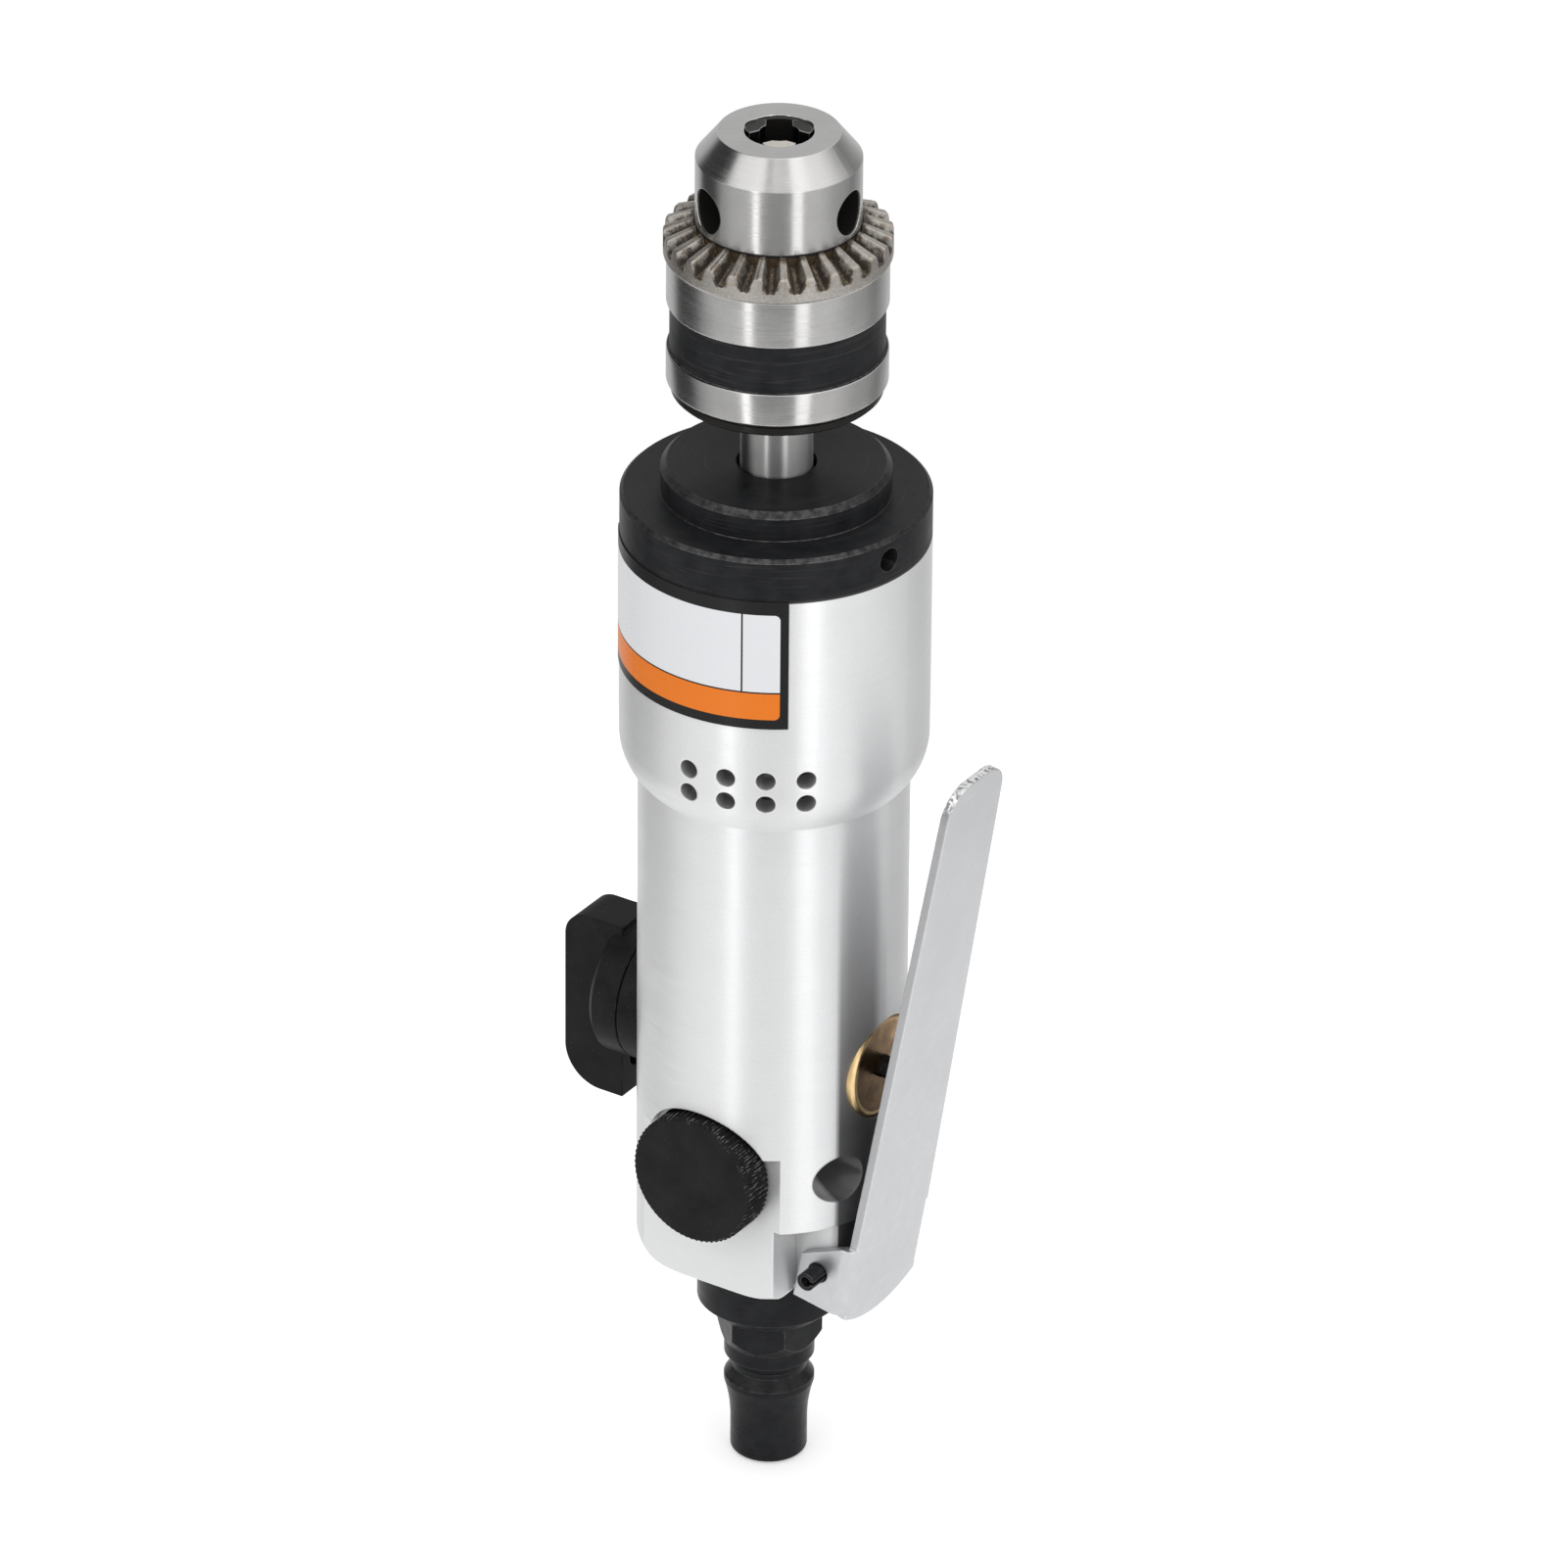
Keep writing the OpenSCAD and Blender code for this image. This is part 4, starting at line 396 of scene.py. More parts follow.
def make_tumbled_sheet():
    """Mottle and scratches, with painted side shade, a painted tip highlight and worn edges laid over them.
    """
    finish, tree, shader = open_finish("tumbled_sheet", (0.6, 0.605, 0.615), 1.0, 0.42)
    mottle = cloud(tree, 2.2, 5.0, 0.6)
    broad = cloud(tree, 14.0)
    worn = edge_mask(tree, 0.5)
    lines = sums(tree, "MAXIMUM", scratches(tree, 0.35, 7.0, 0.1, 0.66),
                 scratches(tree, -1.1, 5.0, 0.09, 0.68))
    shade = tint(tree, spread(tree, mottle), (0.515, 0.52, 0.532), (0.6, 0.605, 0.617))
    shade = tint(tree, remap(tree, broad, 0.35, 0.65, 0.0, 0.35), shade, (0.485, 0.49, 0.505))
    shade = tint(tree, times(tree, lines, 0.3), shade, (0.8, 0.8, 0.8))
    lean, height = axes_of(tree, "Normal"), axes_of(tree)[2]
    sideways = sums(tree, "ABSOLUTE", lean[1])
    # Painted shade: side faces, whose normal points along Y, are darker above the ears.
    painted_side_shade = times(tree, remap(tree, sideways, 0.8, 0.95, 0.0, 1.0),
                remap(tree, height, EAR_TOP, EAR_TOP + 1 * MM, 0.0, 1.0))
    shade = tint(tree, times(tree, painted_side_shade, 0.3), shade, (0.16, 0.16, 0.165))
    # Painted highlight: upward-facing faces near the tip are bright, with dark nicks.
    painted_tip_highlight = times(tree, remap(tree, lean[2], 0.2, 0.5, 0.0, 0.85),
                 remap(tree, height, TIP_HIGHLIGHT_FROM, TIP_HIGHLIGHT_TO, 0.0, 1.0))
    nicks = remap(tree, cloud(tree, 0.7, 3.0), 0.5, 0.57, 1.0, 0.0)
    shade = tint(tree, painted_tip_highlight, shade, tint(tree, nicks, (0.2, 0.2, 0.2), (0.86, 0.86, 0.86)))
    shade = tint(tree, times(tree, worn, 0.5), shade, (0.92, 0.92, 0.92))
    tree.links.new(shade, shader.inputs["Base Color"])
    tree.links.new(sums(tree, "SUBTRACT", remap(tree, mottle, 0.3, 0.7, 0.38, 0.5),
                        times(tree, lines, 0.1)), shader.inputs["Roughness"])
    dents = sums(tree, "SUBTRACT", times(tree, mottle, 0.5), times(tree, lines, 0.6))
    relief(tree, shader, dents, 0.02, 0.5, rounding=0.4)
    return finish


tumbled_sheet = make_tumbled_sheet()
print("finish:", tumbled_sheet.name)

# %% [markdown]
# ## Black knobs, brass, seals and vanes
# The knobs are black anodised with a soft sheen, and the seals are matt rubber. The valve bush is
# turned brass, tarnished inside its rim, and the rim gets a painted highlight of bright brass on the
# lower side towards -Y. The vanes are a layered laminate.

# %% Finish: knobs, brass, rubber, laminate
BUSH_LOW, BUSH_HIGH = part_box("throttle_bush")
BUSH_Z, BUSH_R = (BUSH_LOW.z + BUSH_HIGH.z) / 2, (BUSH_HIGH.z - BUSH_LOW.z) / 2
RIM_HIGHLIGHT_FROM, RIM_HIGHLIGHT_TO = BUSH_R - 1.1 * MM, BUSH_R - 0.9 * MM


def make_black_knob(name, rounding, wear, bare):
    """Black patches with pale specks, and the bare colour along edges by a share of up to wear."""
    finish, tree, shader = open_finish(name, (0.014, 0.014, 0.015), 0.0, 0.45)
    grain = cloud(tree, 0.25, 3.0)
    patches = cloud(tree, 4.0)
    specks = remap(tree, cloud(tree, 0.45, 2.0), 0.68, 0.74, 0.0, 0.12)
    rubbed = remap(tree, cloud(tree, 1.5), 0.5, 0.62, 0.0, wear)
    worn = times(tree, edge_mask(tree, rounding), rubbed)
    shade = tint(tree, spread(tree, patches), (0.011, 0.011, 0.012), (0.019, 0.019, 0.02))
    shade = tint(tree, specks, shade, (0.3, 0.3, 0.29))
    tree.links.new(tint(tree, worn, shade, bare), shader.inputs["Base Color"])
    tree.links.new(remap(tree, patches, 0.3, 0.7, 0.4, 0.52), shader.inputs["Roughness"])
    shader.inputs["Specular IOR Level"].default_value = 0.06
    relief(tree, shader, grain, 0.012, 0.4, rounding=rounding)
    return finish


def make_turned_brass():
    """Tarnish all over, and a painted highlight of bright brass on the rim, by distance from the bush's
    axis.
    """
    finish, tree, shader = open_finish("turned_brass", (0.72, 0.5, 0.25), 1.0, 0.28)
    place = put(tree, "TexCoord").outputs["Object"]
    grain = put(tree, "TexNoise", {"Vector": place, "Scale": 6000.0}).outputs["Fac"]
    tarnish = cloud(tree, 2.5)
    shade = tint(tree, remap(tree, tarnish, 0.35, 0.65, 0.0, 0.8), (0.3, 0.19, 0.095), (0.17, 0.095, 0.042))
    side = axes_of(tree)[1]
    up = sums(tree, "SUBTRACT", axes_of(tree)[2], BUSH_Z)
    flat = put(tree, "CombineXYZ", {1: side, 2: up}).outputs[0]
    reach = put(tree, "VectorMath", {0: flat}, operation="LENGTH").outputs["Value"]
    # Painted highlight: bright brass on the rim, fading away from its lower -Y side.
    painted_rim_highlight = remap(tree, reach, RIM_HIGHLIGHT_FROM, RIM_HIGHLIGHT_TO, 0.0, 0.9)
    side_weight = sums(tree, "ADD", side, times(tree, up, 0.35))
    painted_rim_highlight = times(tree, painted_rim_highlight, remap(tree, side_weight, -0.5 * BUSH_R, -0.1 * BUSH_R, 1.0, 0.15))
    tree.links.new(tint(tree, painted_rim_highlight, shade, (0.9, 0.66, 0.34)), shader.inputs["Base Color"])
    tree.links.new(remap(tree, tarnish, 0.3, 0.7, 0.22, 0.42), shader.inputs["Roughness"])
    relief(tree, shader, grain, 0.006, 0.4, rounding=0.3)
    return finish


def make_layered(name, dark, light, size, metallic, roughness, bump):
    """A plain finish whose colour and roughness wander between two values over patches of one size."""
    finish, tree, shader = open_finish(name, light, metallic, roughness)
    patches = cloud(tree, size, 5.0)
    tree.links.new(tint(tree, spread(tree, patches), dark, light), shader.inputs["Base Color"])
    wander = remap(tree, patches, 0.3, 0.7, roughness - 0.06, roughness + 0.08)
    tree.links.new(wander, shader.inputs["Roughness"])
    relief(tree, shader, patches, bump, 0.5, rounding=0.2)
    return finish


black_knob = make_black_knob("black_knob", 0.4, 0.25, (0.12, 0.12, 0.12))
turned_brass = make_turned_brass()
seal_rubber = make_layered("seal_rubber", (0.015, 0.015, 0.015), (0.03, 0.03, 0.03), 0.8, 0.0, 0.7, 0.02)
vane_laminate = make_layered("vane_laminate", (0.28, 0.16, 0.07), (0.42, 0.27, 0.13), 0.6, 0.0, 0.5, 0.02)
print("finishes:", black_knob.name, turned_brass.name, seal_rubber.name, vane_laminate.name)

# %% [markdown]
# ## The blank label
# The label is a plain film: a black frame with round corners, a pale panel with one dividing line and an
# orange field below. All of it is laid out in mm along the head and up from the label's lower edge.

# %% Finish: blank label film
LABEL_LOW, LABEL_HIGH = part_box("head_label")[0].z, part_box("head_label")[1].z
HEAD_MM = 23.8
PANEL_AT, PANEL_HALF = -math.radians(101.8) * HEAD_MM, math.radians(46.7) * HEAD_MM
PANEL_UP, PANEL_TALL, CORNER_R = 10.5, 8.9, 0.9
DIVIDER_AT, DIVIDER_HALF = -math.radians(69.05) * HEAD_MM, 0.14
FIELD_TOP, LINE_UP, LINE_HALF = 6.1, 6.15, 0.13


def make_label_film():
    """The panel's colours inside a rectangle with round corners, and black outside it and on its lines."""
    finish, tree, shader = open_finish("label_film", (0.8, 0.8, 0.8), 0.0, 0.28)
    axes = axes_of(tree)

    def away(value, centre):
        """How far a value is from a centre."""
        return sums(tree, "ABSOLUTE", sums(tree, "SUBTRACT", value, centre))

    def beyond(value, centre, half):
        """The square of how far a value lies outside centre - half .. centre + half, and 0 inside."""
        outside = sums(tree, "MAXIMUM", sums(tree, "SUBTRACT", away(value, centre), half), 0.0)
        return sums(tree, "POWER", outside, 2.0)

    up = sums(tree, "DIVIDE", sums(tree, "SUBTRACT", axes[2], LABEL_LOW), MM)
    along = times(tree, sums(tree, "ARCTAN2", axes[1], axes[0]), HEAD_MM)
    corner = sums(tree, "ADD", beyond(along, PANEL_AT, PANEL_HALF - CORNER_R),
                  beyond(up, PANEL_UP, PANEL_TALL - CORNER_R))
    inside = sums(tree, "LESS_THAN", corner, CORNER_R ** 2)
    divider = times(tree, sums(tree, "LESS_THAN", away(along, DIVIDER_AT), DIVIDER_HALF),
                    sums(tree, "GREATER_THAN", up, FIELD_TOP))
    lines = sums(tree, "MAXIMUM", divider, sums(tree, "LESS_THAN", away(up, LINE_UP), LINE_HALF))
    blank = times(tree, inside, sums(tree, "SUBTRACT", 1.0, lines))
    shade = tint(tree, sums(tree, "LESS_THAN", up, FIELD_TOP), (0.74, 0.75, 0.77), (0.78, 0.195, 0.02))
    shade = tint(tree, blank, (0.016, 0.016, 0.017), shade)
    shader.inputs["Specular IOR Level"].default_value = 0.15
    tree.links.new(shade, shader.inputs["Base Color"])
    grain = cloud(tree, 0.4)
    tree.links.new(remap(tree, grain, 0.3, 0.7, 0.24, 0.34), shader.inputs["Roughness"])
    relief(tree, shader, grain, 0.004, 0.3)
    return finish


label_film = make_label_film()
print("label film from", round(LABEL_LOW / MM, 2), "to", round(LABEL_HIGH / MM, 2), "mm")

# %% [markdown]
# ## Dressing the solids
# Every solid names a slot of the record, such as chuck steel or brass. One table carries each slot
# to its finish, so no solid is left in the flat grey that it was loaded with.

# %% Give each solid its finish
FINISH_OF_SLOT = {
    "alloy_body": turned_aluminium, "alloy_lever": tumbled_sheet, "black_steel": black_oxide,
    "chuck_steel": chuck_steel, "spindle_steel": ground_steel, "gear_steel": hardened_steel,
    "alloy_plate": machined_aluminium, "brass": turned_brass, "black_knob": black_knob,
    "vane_laminate": vane_laminate, "rubber": seal_rubber, "label": label_film,
}
for subpart in frame["record"]["subparts"]:
    mesh = solids[subpart["node"]].data
    mesh.materials.clear()
    mesh.materials.append(FINISH_OF_SLOT[subpart["material_slot"]])
solids["front_cap"].data.materials[0] = cap_oxide
SLOT_OF = {subpart["node"]: subpart["material_slot"] for subpart in frame["record"]["subparts"]}

# %% [markdown]
# ## Building blocks for shapes
# Turned and knurled parts are all grids: one direction runs along an outline, the other goes round
# an axis. They could be spun in edit mode, but a grid of numbers lets teeth and knurls be part of the
# same surface. Sharp corners of an outline are replaced by arcs, because real edges are broken.

# %% Helpers for shapes
ARC_STEPS = 5


def eased(corners, radii, steps=ARC_STEPS):
    """A closed outline with round corners: a circle of the given radius touches both sides of a corner,
    and the arc between the two points of touch is sampled at equal angles."""
    corner, radius = np.asarray(corners, float), np.asarray(radii, float)[:, None]
    before, after = np.roll(corner, 1, 0) - corner, np.roll(corner, -1, 0) - corner
    before /= np.linalg.norm(before, axis=1, keepdims=True)
    after /= np.linalg.norm(after, axis=1, keepdims=True)
    half = np.arccos(np.clip((before * after).sum(1, keepdims=True), -1, 1)) / 2
    middle = before + after
    middle = corner + middle / np.linalg.norm(middle, axis=1, keepdims=True) * radius / np.sin(half)
    first = corner + before * radius / np.tan(half) - middle
    last = corner + after * radius / np.tan(half) - middle
    share, bend = np.linspace(0, 1, steps)[None, :, None], (np.pi - 2 * half)[:, :, None]
    arc = np.sin((1 - share) * bend) * first[:, None] + np.sin(share * bend) * last[:, None]
    return (middle[:, None] + arc / np.sin(bend)).reshape(-1, 2)


def skin(name, grid, close_rows=True):
    """A mesh from a grid of points in mm: cell (i, j) is the quad between rows i, i+1 and columns j, j+1.
    Columns always close. The sign of the enclosed volume decides which way the faces point."""
    rows, columns = grid.shape[:2]
    i, j = np.meshgrid(np.arange(rows if close_rows else rows - 1), np.arange(columns), indexing="ij")
    over, across = (i + 1) % rows, (j + 1) % columns
    faces = [i * columns + j, i * columns + across, over * columns + across, over * columns + j]
    faces = np.stack(faces, -1).reshape(-1, 4)
    points = grid.reshape(-1, 3) * MM
    one, two, three, four = (points[faces[:, k]] for k in range(4))
    volume = (np.cross(one, two) * three).sum() + (np.cross(one, three) * four).sum()
    faces = faces[:, ::-1] if volume < 0 else faces
    mesh = bpy.data.meshes.new(name)
    mesh.from_pydata(points.tolist(), [], faces.tolist())
    mesh.polygons.foreach_set("use_smooth", np.ones(len(mesh.polygons), bool))
    mesh.set_sharp_from_angle(angle=math.radians(38))
    return mesh


def put_down(mesh, finishes, body, slot, *nodes):
    """Makes the mesh a piece that rides on a body, stands for these solids and takes these finishes. The
    slot is not used.
    """
    piece = bpy.data.objects.new(mesh.name, mesh)
    bpy.context.scene.collection.objects.link(piece)
    for finish in finishes:
        mesh.materials.append(finish)
    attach(piece, body)
    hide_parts(*nodes)
    print(mesh.name, "has", sum(len(face.vertices) - 2 for face in mesh.polygons), "triangles")
    return piece


print("shape helpers ready")

# %% [markdown]
# ## The chuck's sleeve
# The sleeve is turned with a black band between two bright ones, and 27 key teeth are milled in its
# upper face. A tooth is a ramp up, a narrow land and a ramp down, and it gets smaller towards the
# axis. The teeth are a height over angle and radius on the same grid as the turned outline, so the
# sleeve is one closed skin. A point attribute keeps where old grease collects: low in the grooves.

# %% Shape: sleeve with key teeth
SLEEVE_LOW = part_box("chuck_sleeve")[0].z / MM
BAND_MID, BAND_TOP = SLEEVE_LOW + 5.6, SLEEVE_LOW + 13.4
STRIP, ROOT = SLEEVE_LOW + 20.8, SLEEVE_LOW + 22.6
SLEEVE_R, BAND_R, FOOT_BORE, BEVEL, ROOF = 16.7, 16.2, 15.02, 0.5, 1.9
RIM, BORE, LAND_END, TOOTH_H, TOOTH_RISE, TEETH = 17.2, 12.55, 13.05, 2.4, 1.6, 27
FLAT_SHARE, FLANK_SHARE, FLANK_EASE, TIP_WEAR = 0.1, 0.24, 0.07, 0.07
TOOTH_AT = math.radians(-54)


def soft_ramp(x, ease):
    """0 below 0, 1 above 1 and straight between, with both bends eased: half the difference of two
    hyperbolas."""
    return (np.sqrt(x * x + ease * ease) - np.sqrt((x - 1) ** 2 + ease * ease) + 1) / 2


def make_sleeve(steps_per_tooth=28):
    """The turned outline, closed by rings from the rim in to the bore. The rings have the radii in reach,
    and lift says how much of a tooth's height each of them gets."""
    turned = eased(
        [(BORE, ROOT - ROOF), (FOOT_BORE, ROOT - ROOF), (FOOT_BORE, SLEEVE_LOW),
         (SLEEVE_R - BEVEL, SLEEVE_LOW), (SLEEVE_R, SLEEVE_LOW + BEVEL),
         (SLEEVE_R, BAND_MID), (BAND_R, BAND_MID), (BAND_R, BAND_TOP),
         (SLEEVE_R, BAND_TOP), (SLEEVE_R, STRIP), (RIM, STRIP + BEVEL), (RIM, ROOT), (BORE, ROOT)],
        [0.1, 0.1, 0.1, 0.25, 0.25, 0.16, 0.1, 0.1, 0.16, 0.15, 0.3, 0.01, 0.01])[:-2 * ARC_STEPS]
    step = np.arange(TEETH * steps_per_tooth) / steps_per_tooth
    turn = TOOTH_AT + (step + 0.5) * 2 * np.pi / TEETH
    from_groove = np.abs((step + 0.5) % 1 - 0.5)
    worn = 1 - TIP_WEAR * np.random.default_rng(5).random(TEETH)[np.floor(step + 0.5).astype(int) % TEETH]
    ridge = soft_ramp((from_groove - FLAT_SHARE) / FLANK_SHARE, FLANK_EASE) * worn
    reach = np.array([RIM, RIM, RIM, 17.13, 17.0, 16.5, 15.8, 15.0, 14.2, 13.5,
                      LAND_END, 12.8, 12.62, BORE, BORE])
    lift = np.array([0, 0.5, 0.86, 0.96, 1, 1, 1, 1, 1, 1, 1, 1, 0.97, 0.7, 0])
    inward = (RIM - reach) / (RIM - BORE)
    root = ROOT + (TOOTH_RISE + TOOTH_H * (1 - BORE / RIM)) * inward
    tall = ROOT + TOOTH_H + TOOTH_RISE * (RIM - reach) / (RIM - LAND_END) - root
    tooth_z = root[:, None] + (lift * tall)[:, None] * ridge[None, :]
    radius = np.concatenate([turned[:, 0], reach])[:, None]
    height = np.concatenate([np.repeat(turned[:, 1:], len(turn), 1), tooth_z])
    mesh = skin("sleeve_with_teeth", np.stack([radius * np.cos(turn), radius * np.sin(turn), height], -1))
    centre = np.empty(len(mesh.polygons) * 3)
    mesh.polygons.foreach_get("center", centre)
    centre = centre.reshape(-1, 3) / MM
    zone = np.where(centre[:, 2] > STRIP + 0.05, 2, 0)
    in_band = (centre[:, 2] > BAND_MID - 0.02) & (centre[:, 2] < BAND_TOP + 0.02)
    zone[in_band & (np.hypot(centre[:, 0], centre[:, 1]) < (BAND_R + SLEEVE_R) / 2)] = 1
    mesh.polygons.foreach_set("material_index", zone.astype(np.int32))
    toothed = np.clip(1 - ridge, 0, 1)[None, :] * 0.9 + np.clip((inward - 0.75) * 3, 0, 1)[:, None]
    toothed = np.clip(toothed * (tooth_z > ROOT + 0.05), 0, 1)
    grease = np.concatenate([np.zeros((len(turned), len(turn))), toothed])
    mesh.attributes.new("grease", "FLOAT", "POINT").data.foreach_set("value", grease.ravel())
    return mesh


def make_tooth_steel():
    """Steel with brown stains that turns to black grease as the grease attribute plus noise grows."""
    finish, tree, shader = open_finish("tooth_steel", (0.46, 0.44, 0.42), 1.0, 0.45)
    grease = put(tree, "Attribute", attribute_name="grease").outputs["Fac"]
    blotch = cloud(tree, 1.3, 5.0, 0.65)
    fine = cloud(tree, 0.35, 3.0)
    mixed = sums(tree, "ADD", times(tree, sums(tree, "SUBTRACT", blotch, 0.5), 1.8),
                 times(tree, sums(tree, "SUBTRACT", fine, 0.5), 0.8))
    film = remap(tree, sums(tree, "ADD", grease, mixed), 0.08, 0.5, 0.0, 1.0)
    film = times(tree, film, remap(tree, grease, 0.02, 0.2, 0.0, 1.0))
    shade = tint(tree, remap(tree, fine, 0.35, 0.65, 0.0, 1.0), (0.36, 0.34, 0.315), (0.5, 0.48, 0.45))
    brown = times(tree, remap(tree, blotch, 0.4, 0.62, 0.0, 0.55), remap(tree, grease, 0.0, 0.1, 0.15, 1.0))
    shade = tint(tree, brown, shade, (0.27, 0.185, 0.105))
    shade = tint(tree, times(tree, film, 0.93), shade, (0.026, 0.017, 0.01))
    dried = times(tree, remap(tree, grease, 0.72, 0.88, 0.0, 1.0), remap(tree, fine, 0.52, 0.62, 0.0, 0.6))
    tree.links.new(tint(tree, dried, shade, (0.33, 0.23, 0.11)), shader.inputs["Base Color"])
    tree.links.new(remap(tree, film, 0.0, 1.0, 1.0, 0.1), shader.inputs["Metallic"])
    rough = sums(tree, "ADD", remap(tree, fine, 0.3, 0.7, 0.4, 0.52), times(tree, film, -0.1))
    tree.links.new(rough, shader.inputs["Roughness"])
    relief(tree, shader, sums(tree, "ADD", fine, film), 0.03, 0.4, rounding=0.08)
    return finish


black_band = make_black_oxide("black_band", 0.5, 0.42, 0.5)
tooth_steel = make_tooth_steel()
put_down(make_sleeve(), [chuck_steel, black_band, tooth_steel], "sleeve", "chuck_steel", "chuck_sleeve")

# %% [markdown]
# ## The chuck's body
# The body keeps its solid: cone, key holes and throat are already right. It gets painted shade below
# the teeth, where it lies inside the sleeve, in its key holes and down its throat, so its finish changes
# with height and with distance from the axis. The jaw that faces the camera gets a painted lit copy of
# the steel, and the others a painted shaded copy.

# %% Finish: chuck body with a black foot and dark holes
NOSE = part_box("chuck_body")[1].z
HOLE_FROM, HOLE_TO, THROAT_FROM, THROAT_TO = 12.1 * MM, 12.4 * MM, 5.5 * MM, 5.7 * MM
HOLE_TOP, CONE_FOOT, LIP_LOW, LIP_TOP = NOSE - 5.2 * MM, NOSE - 4.6 * MM, NOSE - 0.7 * MM, NOSE - 0.2 * MM


def make_chuck_body_finish():
    """Chuck steel with painted shade below the teeth, inside the key holes and down the throat."""
    finish = chuck_steel.copy()
    finish.name = "chuck_body_steel"
    tree = finish.node_tree
    shader = tree.nodes["Principled BSDF"]
    axes = axes_of(tree)
    height, reach = axes[2], axis_distance(tree, axes)
    inner_tip = ROOT + TOOTH_H + TOOTH_RISE
    foot = remap(tree, height, (inner_tip + 0.1) * MM, (inner_tip + 0.3) * MM, 1.0, 0.0)
    between = times(tree, remap(tree, height, SLEEVE_LOW * MM, (SLEEVE_LOW + 0.1) * MM, 0.0, 1.0),
                    remap(tree, height, (inner_tip - 0.5) * MM, (inner_tip - 0.2) * MM, 1.0, 0.0))
    in_hole = times(tree, remap(tree, reach, HOLE_FROM, HOLE_TO, 1.0, 0.0),
                    remap(tree, height, HOLE_TOP, CONE_FOOT, 1.0, 0.0))
    in_throat = times(tree, remap(tree, reach, THROAT_FROM, THROAT_TO, 1.0, 0.0),
                      remap(tree, height, LIP_LOW, LIP_TOP, 1.0, 0.0))
    # Painted shade below the teeth, in the key holes and down the throat.
    dark = sums(tree, "MAXIMUM", foot, sums(tree, "MAXIMUM", in_hole, in_throat))
    bright = shader.inputs["Base Color"].links[0].from_socket
    painted_shade_tone = tint(tree, between, (0.018, 0.017, 0.016), (0.075, 0.052, 0.03))
    tree.links.new(tint(tree, dark, bright, painted_shade_tone), shader.inputs["Base Color"])
    tree.links.new(sums(tree, "SUBTRACT", 1.0, times(tree, dark, 0.9)), shader.inputs["Metallic"])
    shader.inputs["Specular IOR Level"].default_value = 0.09
    shader.inputs["Anisotropic"].default_value = 0.5
    return finish


solids["chuck_body"].data.materials[0] = make_chuck_body_finish()
# Painted light: a lit copy of the steel for the jaw facing the camera, a shaded copy for the rest.
painted_shade_steel = make_turned_steel("painted_shade_steel", (0.035, 0.034, 0.033), 0.34, 0.3, 0.3, 0.3)
painted_lit_steel = make_turned_steel("painted_lit_steel", (0.66, 0.63, 0.57), 0.36, 0.3, 0.3, 0.2)
for jaw in ("jaw_1", "jaw_2", "jaw_3"):
    low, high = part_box(jaw)
    in_front = (low + high).xy.dot(backward.xy) > 0
    solids[jaw].data.materials[0] = painted_lit_steel if in_front else painted_shade_steel
    print(jaw, "gets", solids[jaw].data.materials[0].name)
solids["throttle_valve"].data.materials[0] = painted_shade_steel
print("chuck nose at", round(NOSE / MM, 2), "mm")

# %% [markdown]
# ## The regulator's knob
# The knob is turned and gets a straight knurl: 72 shallow grooves that run out into the bevel of its
# front edge. On the grid, the knurl is a small ripple of the radius with the angle, which fades where
# the bevel begins. The knob's axis points along -Y.

# %% Shape: knurled regulator knob
def make_regulator_knob(grooves=72, steps_per_groove=8, bevel=0.5, groove_depth=0.42):
    """The outline goes round an axis along Y: at each angle, its radius drops by the groove's depth times
    an eased saw of the angle."""
    low, high = (np.array(corner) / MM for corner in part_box("regulator_knob"))
    front, rear, centre_z, radius = low[1], high[1], (low[2] + high[2]) / 2, (high[2] - low[2]) / 2
    outline = eased(
        [(0.02, front), (radius - bevel, front), (radius, front + bevel), (radius, rear), (0.02, rear)],
        [0.01, 0.2, 0.2, 0.3, 0.01])
    turn = np.arange(grooves * steps_per_groove) * 2 * np.pi / (grooves * steps_per_groove)
    saw = np.abs((turn * grooves / (2 * np.pi)) % 1 - 0.5) * 2
    depth = groove_depth * np.clip((outline[:, 0] - radius + 0.6) / 0.55, 0, 1)
    reach = outline[:, :1] - depth[:, None] * soft_ramp(1 - saw, 0.15)[None, :]
    along = np.repeat(outline[:, 1:], len(turn), 1)
    grid = np.stack([reach * np.cos(turn), along, centre_z + reach * np.sin(turn)], -1)
    return skin("knurled_knob", grid)


# The knob's edges wear to bare metal, and this pale edge is also a painted highlight for rim glints.
knob_wear_and_glints = make_black_knob("knob_wear_and_glints", 0.18, 0.9, (0.5, 0.5, 0.49))
put_down(make_regulator_knob(), [knob_wear_and_glints], "regulator", "black_knob", "regulator_knob")

# %% [markdown]
# ## The valve's spring
# The spring behind the throttle valve is wound from thin wire and gets shorter when the lever is
# pressed. The wire is a round tube on a helix that fills the spring's box.


